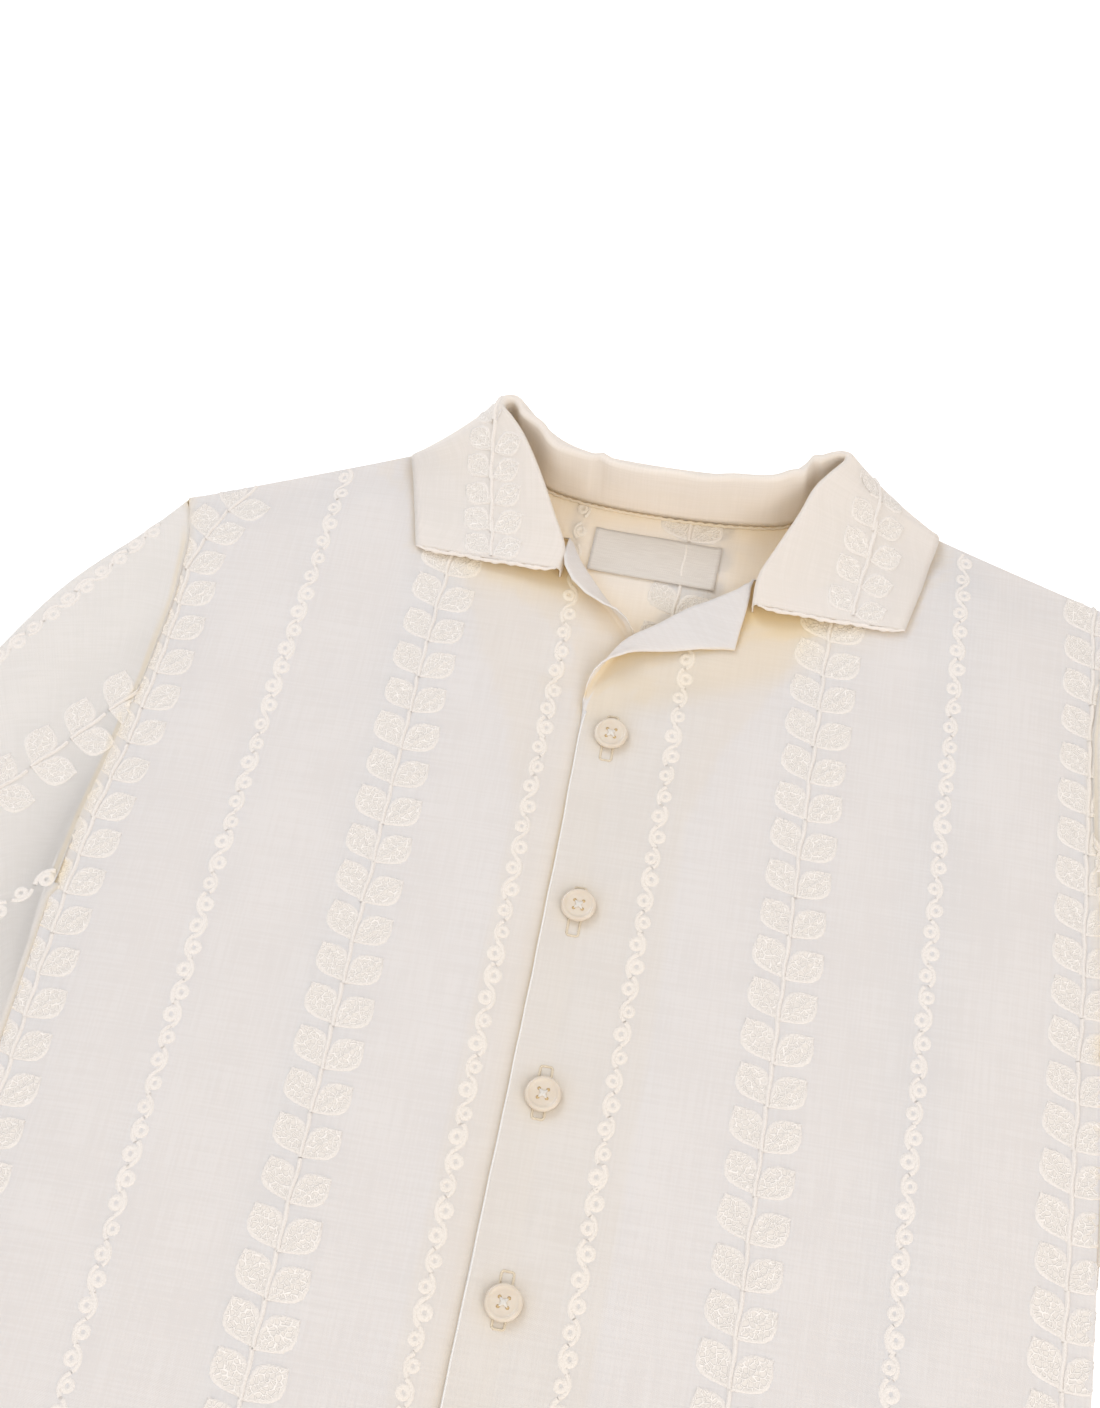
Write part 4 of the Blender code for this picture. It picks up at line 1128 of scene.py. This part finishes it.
def cordGrid(path, thread, lift, closed=False):
    # a flat-bottomed cord on the cloth: foot, two shoulders, foot
    rows = []
    count = len(path)
    for index, (x, y) in enumerate(path):
        before = path[(index - 1) % count] if closed else path[max(index - 1, 0)]
        after = path[(index + 1) % count] if closed else path[min(index + 1, count - 1)]
        run = Vector((after[0] - before[0], after[1] - before[1])).normalized()
        out = Vector((run.y, -run.x))
        rows.append([(x + out.x * far * thread, y + out.y * far * thread, z * lift, 0)
                     for far, z in ((-1, 0), (-0.5, 0.9), (0.5, 0.9), (1, 0))])
    return rows, closed


def makeLeafPair(lean, length, half):
    lean, reach = math.radians(lean), leafStitch["pitch"] / 2 + 0.3
    stem = [(0.25 * math.sin(y / 2.2), y) for y in np.linspace(-reach, reach, 9)]
    return stitchMesh("leafPair", [
        leafGrid(-0.8, -6, -lean * 0.95, length * 0.97, half * 0.96),
        leafGrid(0.8, -6.8, lean * 1.3, length * 0.93, half),
        cordGrid(stem, leafStitch["stemThread"], leafStitch["stemLift"])])


def makeChainLink():
    ring, thread = chainStitch["ring"], chainStitch["thread"]
    circle = [(-0.6 + ring * math.cos(turn), ring * 1.08 * math.sin(turn))
              for turn in np.linspace(0, 2 * math.pi, 12, endpoint=False)]
    half = chainStitch["pitch"] / 2 + 0.1
    strand = [(0, -half), (1, -2.9), (1.7, -1.6), (1.95, 0), (1.7, 1.6), (1, 2.9), (0, half)]
    return stitchMesh("chainLink", [cordGrid(circle, thread, chainStitch["lift"], True),
                                    cordGrid(strand, thread * 0.8, chainStitch["lift"])])


class Graph:
    # a Geometry Nodes tree and the one way in which its nodes are added
    def __init__(self, name, sockets):
        self.tree = bpy.data.node_groups.new(name, "GeometryNodeTree")
        self.keys = {}
        for title, kind, value in sockets:
            made = self.tree.interface.new_socket(title, in_out="INPUT", socket_type="NodeSocket" + kind)
            if value is not None:
                made.default_value = value
            self.keys[title] = made.identifier
        self.tree.interface.new_socket("Geometry", in_out="OUTPUT", socket_type="NodeSocketGeometry")
        self.start = self.tree.nodes.new("NodeGroupInput")

    def take(self, title):
        return self.start.outputs[title]

    def add(self, kind, values, output=0, **settings):
        made = self.tree.nodes.new(kind if kind.startswith(("Function", "Shader")) else "GeometryNode" + kind)
        for name, value in settings.items():
            setattr(made, name, value)
        for name, value in values.items():
            if isinstance(value, bpy.types.NodeSocket):
                self.tree.links.new(value, made.inputs[name])
            else:
                made.inputs[name].default_value = value
        return made.outputs[output]


def stitchTree():
    # lays one stitch after another along the paths and presses every point onto the cloth
    graph = Graph("stitchTree", [
        ("Geometry", "Geometry", None), ("Cloth", "Object", None), ("Stitch", "Object", None),
        ("Pitch", "Float", 0.014), ("Turn each", "Float", 0), ("Uneven turn", "Float", 0.05),
        ("Uneven size", "Float", 0.04), ("Reach", "Float", 0.0015), ("Seed", "Int", 1),
        ("Thread", "Material", None)])
    add, take = graph.add, graph.take
    cloth, stitch = [add("ObjectInfo", {0: take(title)}, 4, transform_space="ORIGINAL")
                     for title in ("Cloth", "Stitch")]
    curve = add("MeshToCurve", {0: take("Geometry")})
    curve = add("ResampleCurve", {0: curve, 3: take("Pitch")}, mode="LENGTH")
    onCloth = add("SampleNearestSurface", {0: cloth, 1: add("InputNormal", {})}, data_type="FLOAT_VECTOR")
    turn = add("FunctionNodeAxesToRotation", {0: onCloth, 1: add("InputTangent", {})},
               primary_axis="Z", secondary_axis="Y")
    uneven = add("FunctionNodeRandomValue", {2: -1, 3: 1, 8: take("Seed")}, 1, data_type="FLOAT")
    swing = add("ShaderNodeMath", {0: uneven, 1: take("Uneven turn")}, operation="MULTIPLY")
    swing = add("ShaderNodeMath", {0: add("InputIndex", {}), 1: take("Turn each"), 2: swing},
                operation="MULTIPLY_ADD")
    spin = add("FunctionNodeAxisAngleToRotation", {0: (0, 0, 1), 1: swing})
    turn = add("FunctionNodeRotateRotation", {0: turn, 1: spin}, rotation_space="LOCAL")
    nextSeed = add("ShaderNodeMath", {0: take("Seed"), 1: 7}, operation="ADD")
    other = add("FunctionNodeRandomValue", {2: -1, 3: 1, 8: nextSeed}, 1, data_type="FLOAT")
    size = add("ShaderNodeMath", {0: other, 1: take("Uneven size"), 2: 1}, operation="MULTIPLY_ADD")
    points = add("InstanceOnPoints", {0: curve, 2: stitch, 5: turn, 6: size})
    shift = add("FunctionNodeRandomValue", {0: (0, 0, 0), 1: (90, 90, 0), 8: take("Seed")},
                data_type="FLOAT_VECTOR")
    points = add("StoreNamedAttribute", {0: points, 2: "shift", 3: shift}, data_type="FLOAT_VECTOR",
                 domain="INSTANCE")
    real = add("RealizeInstances", {0: points})
    near = add("Proximity", {0: cloth}, target_element="FACES")
    tooFar = add("FunctionNodeCompare", {0: near.node.outputs[1], 1: take("Reach")}, data_type="FLOAT",
                 operation="GREATER_THAN")
    real = add("DeleteGeometry", {0: real, 1: tooFar}, domain="POINT")
    lift = add("InputNamedAttribute", {0: "lift"}, data_type="FLOAT")
    outward = add("ShaderNodeVectorMath", {0: onCloth, 3: lift}, operation="SCALE")
    spot = add("ShaderNodeVectorMath", {0: near, 1: outward}, operation="ADD")
    # the painted shade of the cloth under each stitch is stored on the thread
    paintedShade = add("InputNamedAttribute", {0: "paintedShade"}, data_type="FLOAT")
    paintedShade = add("SampleNearestSurface", {0: cloth, 1: paintedShade}, data_type="FLOAT")
    real = add("StoreNamedAttribute", {0: real, 2: "paintedShade", 3: paintedShade}, data_type="FLOAT", domain="POINT")
    real = add("SetPosition", {0: real, 2: spot})
    real = add("SetMaterial", {0: real, 2: take("Thread")})
    graph.tree.links.new(real, graph.tree.nodes.new("NodeGroupOutput").inputs[0])
    return graph


stitches = stitchTree()


def layStitches(name, target, stitch, paths, settings, seed):
    mesh = bpy.data.meshes.new(name + "Paths")
    spots, edges = [], []
    for path in paths:
        edges += [(len(spots) + index, len(spots) + index + 1) for index in range(len(path) - 1)]
        spots += path
    mesh.from_pydata(spots, edges, [])
    guide = linkPiece(name + "Guide", mesh)
    layer = guide.modifiers.new("stitches", "NODES")
    layer.node_group = stitches.tree
    values = dict(settings, Cloth=target, Stitch=stitch, Seed=seed, Thread=threadCotton,
                  Reach=stitchReach * mm)
    for title, value in values.items():
        layer[stitches.keys[title]] = value
    graph = bpy.context.evaluated_depsgraph_get()
    made = bpy.data.meshes.new_from_object(guide.evaluated_get(graph), preserve_all_data_layers=True,
                                           depsgraph=graph)
    bpy.data.objects.remove(guide)
    made.shade_smooth()
    return made


leafSettings = {"Pitch": leafStitch["pitch"] * mm, "Uneven turn": 0.06, "Uneven size": 0.045}
chainSettings = {"Pitch": chainStitch["pitch"] * mm, "Turn each": math.pi, "Uneven turn": 0.22,
                 "Uneven size": 0.1}

# stripes on the fronts: kind, then points from the hem upwards
rightStripes = [
    ("leaf", [(-165.5, -383), (-165.5, -85), (-164, -55), (-161, -30), (-159, 0), (-158.5, 20), (-159, 36),
              (-158.5, 50), (-155, 61), (-150.5, 70), (-148, 75)]),
    ("chain", [(-119, -383), (-119, -80), (-117, 0), (-114, 60), (-113, 91)]),
    ("leaf", [(-69, -383), (-69, 20), (-68, 60), (-66, 104)]),
    ("chain", [(-23, -383), (-23, -20), (-22.5, 30), (-23, 61)])]
leftStripes = [
    ("chain", [(21, -383), (21, -60), (21, 20), (21.5, 50)]),
    ("leaf", [(68, -383), (68, -60), (68, 40), (69, 100)]),
    ("chain", [(113, -383), (113, -60), (113, 30), (112.5, 93)]),
    ("leaf", [(162, -383), (162, -60), (160, 30), (159, 78)])]


def onHeight(stripes, heightAt):
    laid = []
    for kind, path in stripes:
        spots = refine([(x, y, 0) for x, y in path], 6)
        laid.append((kind, [place(spot.x, spot.y, heightAt(spot.x, spot.y)) for spot in spots]))
    return laid


def layStripes(name, sourceMesh, stripes, seed, closer=1, pair=None):
    target = linkPiece(name + "Target", sourceMesh.copy())
    joined = bmesh.new()
    for kind, stitch, settings in (("leaf", pair or leafPair, leafSettings),
                                   ("chain", chainLink, chainSettings)):
        paths = [path for word, path in stripes if word == kind]
        if paths:
            settings = dict(settings, Pitch=settings["Pitch"] * closer)
            laid = layStitches(name + kind, target, stitch, paths, settings, seed)
            joined.from_mesh(laid)
            bpy.data.meshes.remove(laid)
            seed += 11
    bpy.data.objects.remove(target)
    mesh = meshFrom(joined, name, threadCotton)
    print(name, len(mesh.polygons), "faces")
    return show(linkPiece(name, mesh), "shirt_cloth")


def castOn(mesh, rays):  # where each ray, a spot and a way, meets the cloth
    tree = BVHTree.FromPolygons([vertex.co for vertex in mesh.vertices],
                                [polygon.vertices for polygon in mesh.polygons])
    hits = [tree.ray_cast(spot, way)[0] for spot, way in rays]
    return [hit for hit in hits if hit is not None]


def fromCamera(mesh, *spots):  # on the cloth, where the camera sees these places of the reference height
    eye = place(*cameraSpot["place"])
    return castOn(mesh, [(eye, (place(x, y, 6) - eye).normalized()) for x, y in spots])


leafPair, collarPair = makeLeafPair(*leafStitch["front"]), makeLeafPair(*leafStitch["collar"])
chainLink = makeChainLink()
frontLeftStitches = layStripes("embroideryFrontLeft", leftMesh, onHeight(leftStripes, clothZ), 3)
frontRightStitches = layStripes("embroideryFrontRight", rightMesh, onHeight(rightStripes, underZ), 5)
collarStripes = [
    ("leaf", fromCamera(collarMesh, (-52.5, 62), (-55, 72), (-57.5, 84), (-60, 97), (-62, 108), (-63, 116),
                        (-63.8, 122), (-64.3, 126), (-64.6, 129), (-64.8, 131))),
    ("leaf", fromCamera(collarMesh, (74.5, 58), (76, 70), (77.5, 82), (79, 94), (79.5, 104), (79.5, 112),
                        (79, 119), (78, 124), (77, 127), (76.5, 129)))]
collarStitches = layStripes("embroideryCollar", collarMesh, collarStripes, 8, leafStitch["collarCloser"],
                            collarPair)

# on the inside of the back the same stripes show as on its outside
insideBack = backMesh.copy()
for vertex in insideBack.vertices:
    vertex.co.z = backCloth["innerZ"] * mm
insideBack.flip_normals()
insideStripes = [(kind, [place(x, y, backCloth["innerZ"]) for x, y in path]) for kind, path in (
    ("chain", ((-25.5, 74), (-25, 94))), ("leaf", ((13.5, 44), (14, 93.5))))]
insideStitches = layStripes("embroideryBackInside", insideBack, insideStripes, 13)

backStripes = []
for index, x in enumerate((-165, -119, -72, -26, 20, 66, 112, 158)):
    top = min(shoulderY(x) - 2, 93 if -50 < x < 60 else 200)
    backStripes.append(("chain" if index % 2 else "leaf",
                        [place(x, y, backCloth["outerZ"]) for y in (-383, -60, top)]))
backStitches = layStripes("embroideryBackOutside", backMesh, backStripes, 21)


def sleeveStitches(name, mesh, side, seed):
    stripes = []
    for kind, x0, y0, x1, y1 in (("chain", 176, 55, 256, -72), ("leaf", 166, -14, 232, -103),
                                 ("chain", 173, -84, 206, -124)):
        spots = [place(side * (x0 + (x1 - x0) * step / 8), y0 + (y1 - y0) * step / 8, 100)
                 for step in range(8, -1, -1)]
        stripes.append((kind, castOn(mesh, [(spot, Vector((0, 0, -1))) for spot in spots])))
    return layStripes(name, mesh, stripes, seed)


sleeveLeftStitches = sleeveStitches("embroiderySleeveLeft", leftSleeveMesh, 1, 31)
sleeveRightStitches = sleeveStitches("embroiderySleeveRight", rightSleeveMesh, -1, 37)
for helper in (leafPair, collarPair, chainLink):
    bpy.data.objects.remove(helper)
print("embroidery ready")


def makeFloor():
    material, start, shader = newMaterial("paleFloor")
    for name, value in (("Base Color", (0.4, 0.4, 0.4, 1)), ("Roughness", 0.9), ("Specular IOR Level", 0),
                        ("Emission Color", (1, 1, 1, 1)), ("Emission Strength", 1)):
        shader.inputs[name].default_value = value
    mesh, reach = bpy.data.meshes.new("floor"), 3
    mesh.from_pydata([(-reach, -reach, 0), (reach, -reach, 0), (reach, reach, 0), (-reach, reach, 0)], [],
                     [(0, 1, 2, 3)])
    mesh.materials.append(material)
    floor = linkPiece("floor", mesh)
    floor.location.z = -0.0002


def aim(thing, spot, target):
    thing.location = spot
    thing.rotation_euler = (Vector(target) - Vector(spot)).to_track_quat("-Z", "Y").to_euler()


def makeLight(name, spot, target, size, power, colour):
    lamp = bpy.data.lights.new(name, "AREA")
    lamp.shape, lamp.size, lamp.energy, lamp.color = "SQUARE", size, power, colour
    aim(linkPiece(name, lamp), spot, target)


def makeCamera():
    lens = bpy.data.cameras.new("camera")
    lens.lens, lens.sensor_width, lens.clip_start, lens.clip_end = cameraSpot["lens"], 36, 0.01, 20
    bpy.context.scene.camera = linkPiece("camera", lens)
    aim(bpy.context.scene.camera, place(*cameraSpot["place"]), place(*cameraSpot["target"]))


makeFloor()
makeLight("windowLight", (-0.75, 0.95, 0.95), (0, 0.05, 0), 0.6, 6.4, (0.88, 0.98, 1.12))
makeLight("fillLight", (0.95, -0.8, 1), (0, 0, 0), 1.2, 12.4, (1, 0.965, 0.93))
makeLight("lowLight", (-0.6, -1, 0.6), (0, 0.1, 0), 0.8, 3.2, (1, 0.96, 0.91))
world = bpy.data.worlds.new("studio")
world.use_nodes = True
for number, value in enumerate(((1, 0.96, 0.92, 1), 0.69)):
    world.node_tree.nodes["Background"].inputs[number].default_value = value
bpy.context.scene.world = world
bpy.context.scene.view_settings.view_transform = "Standard"
makeCamera()
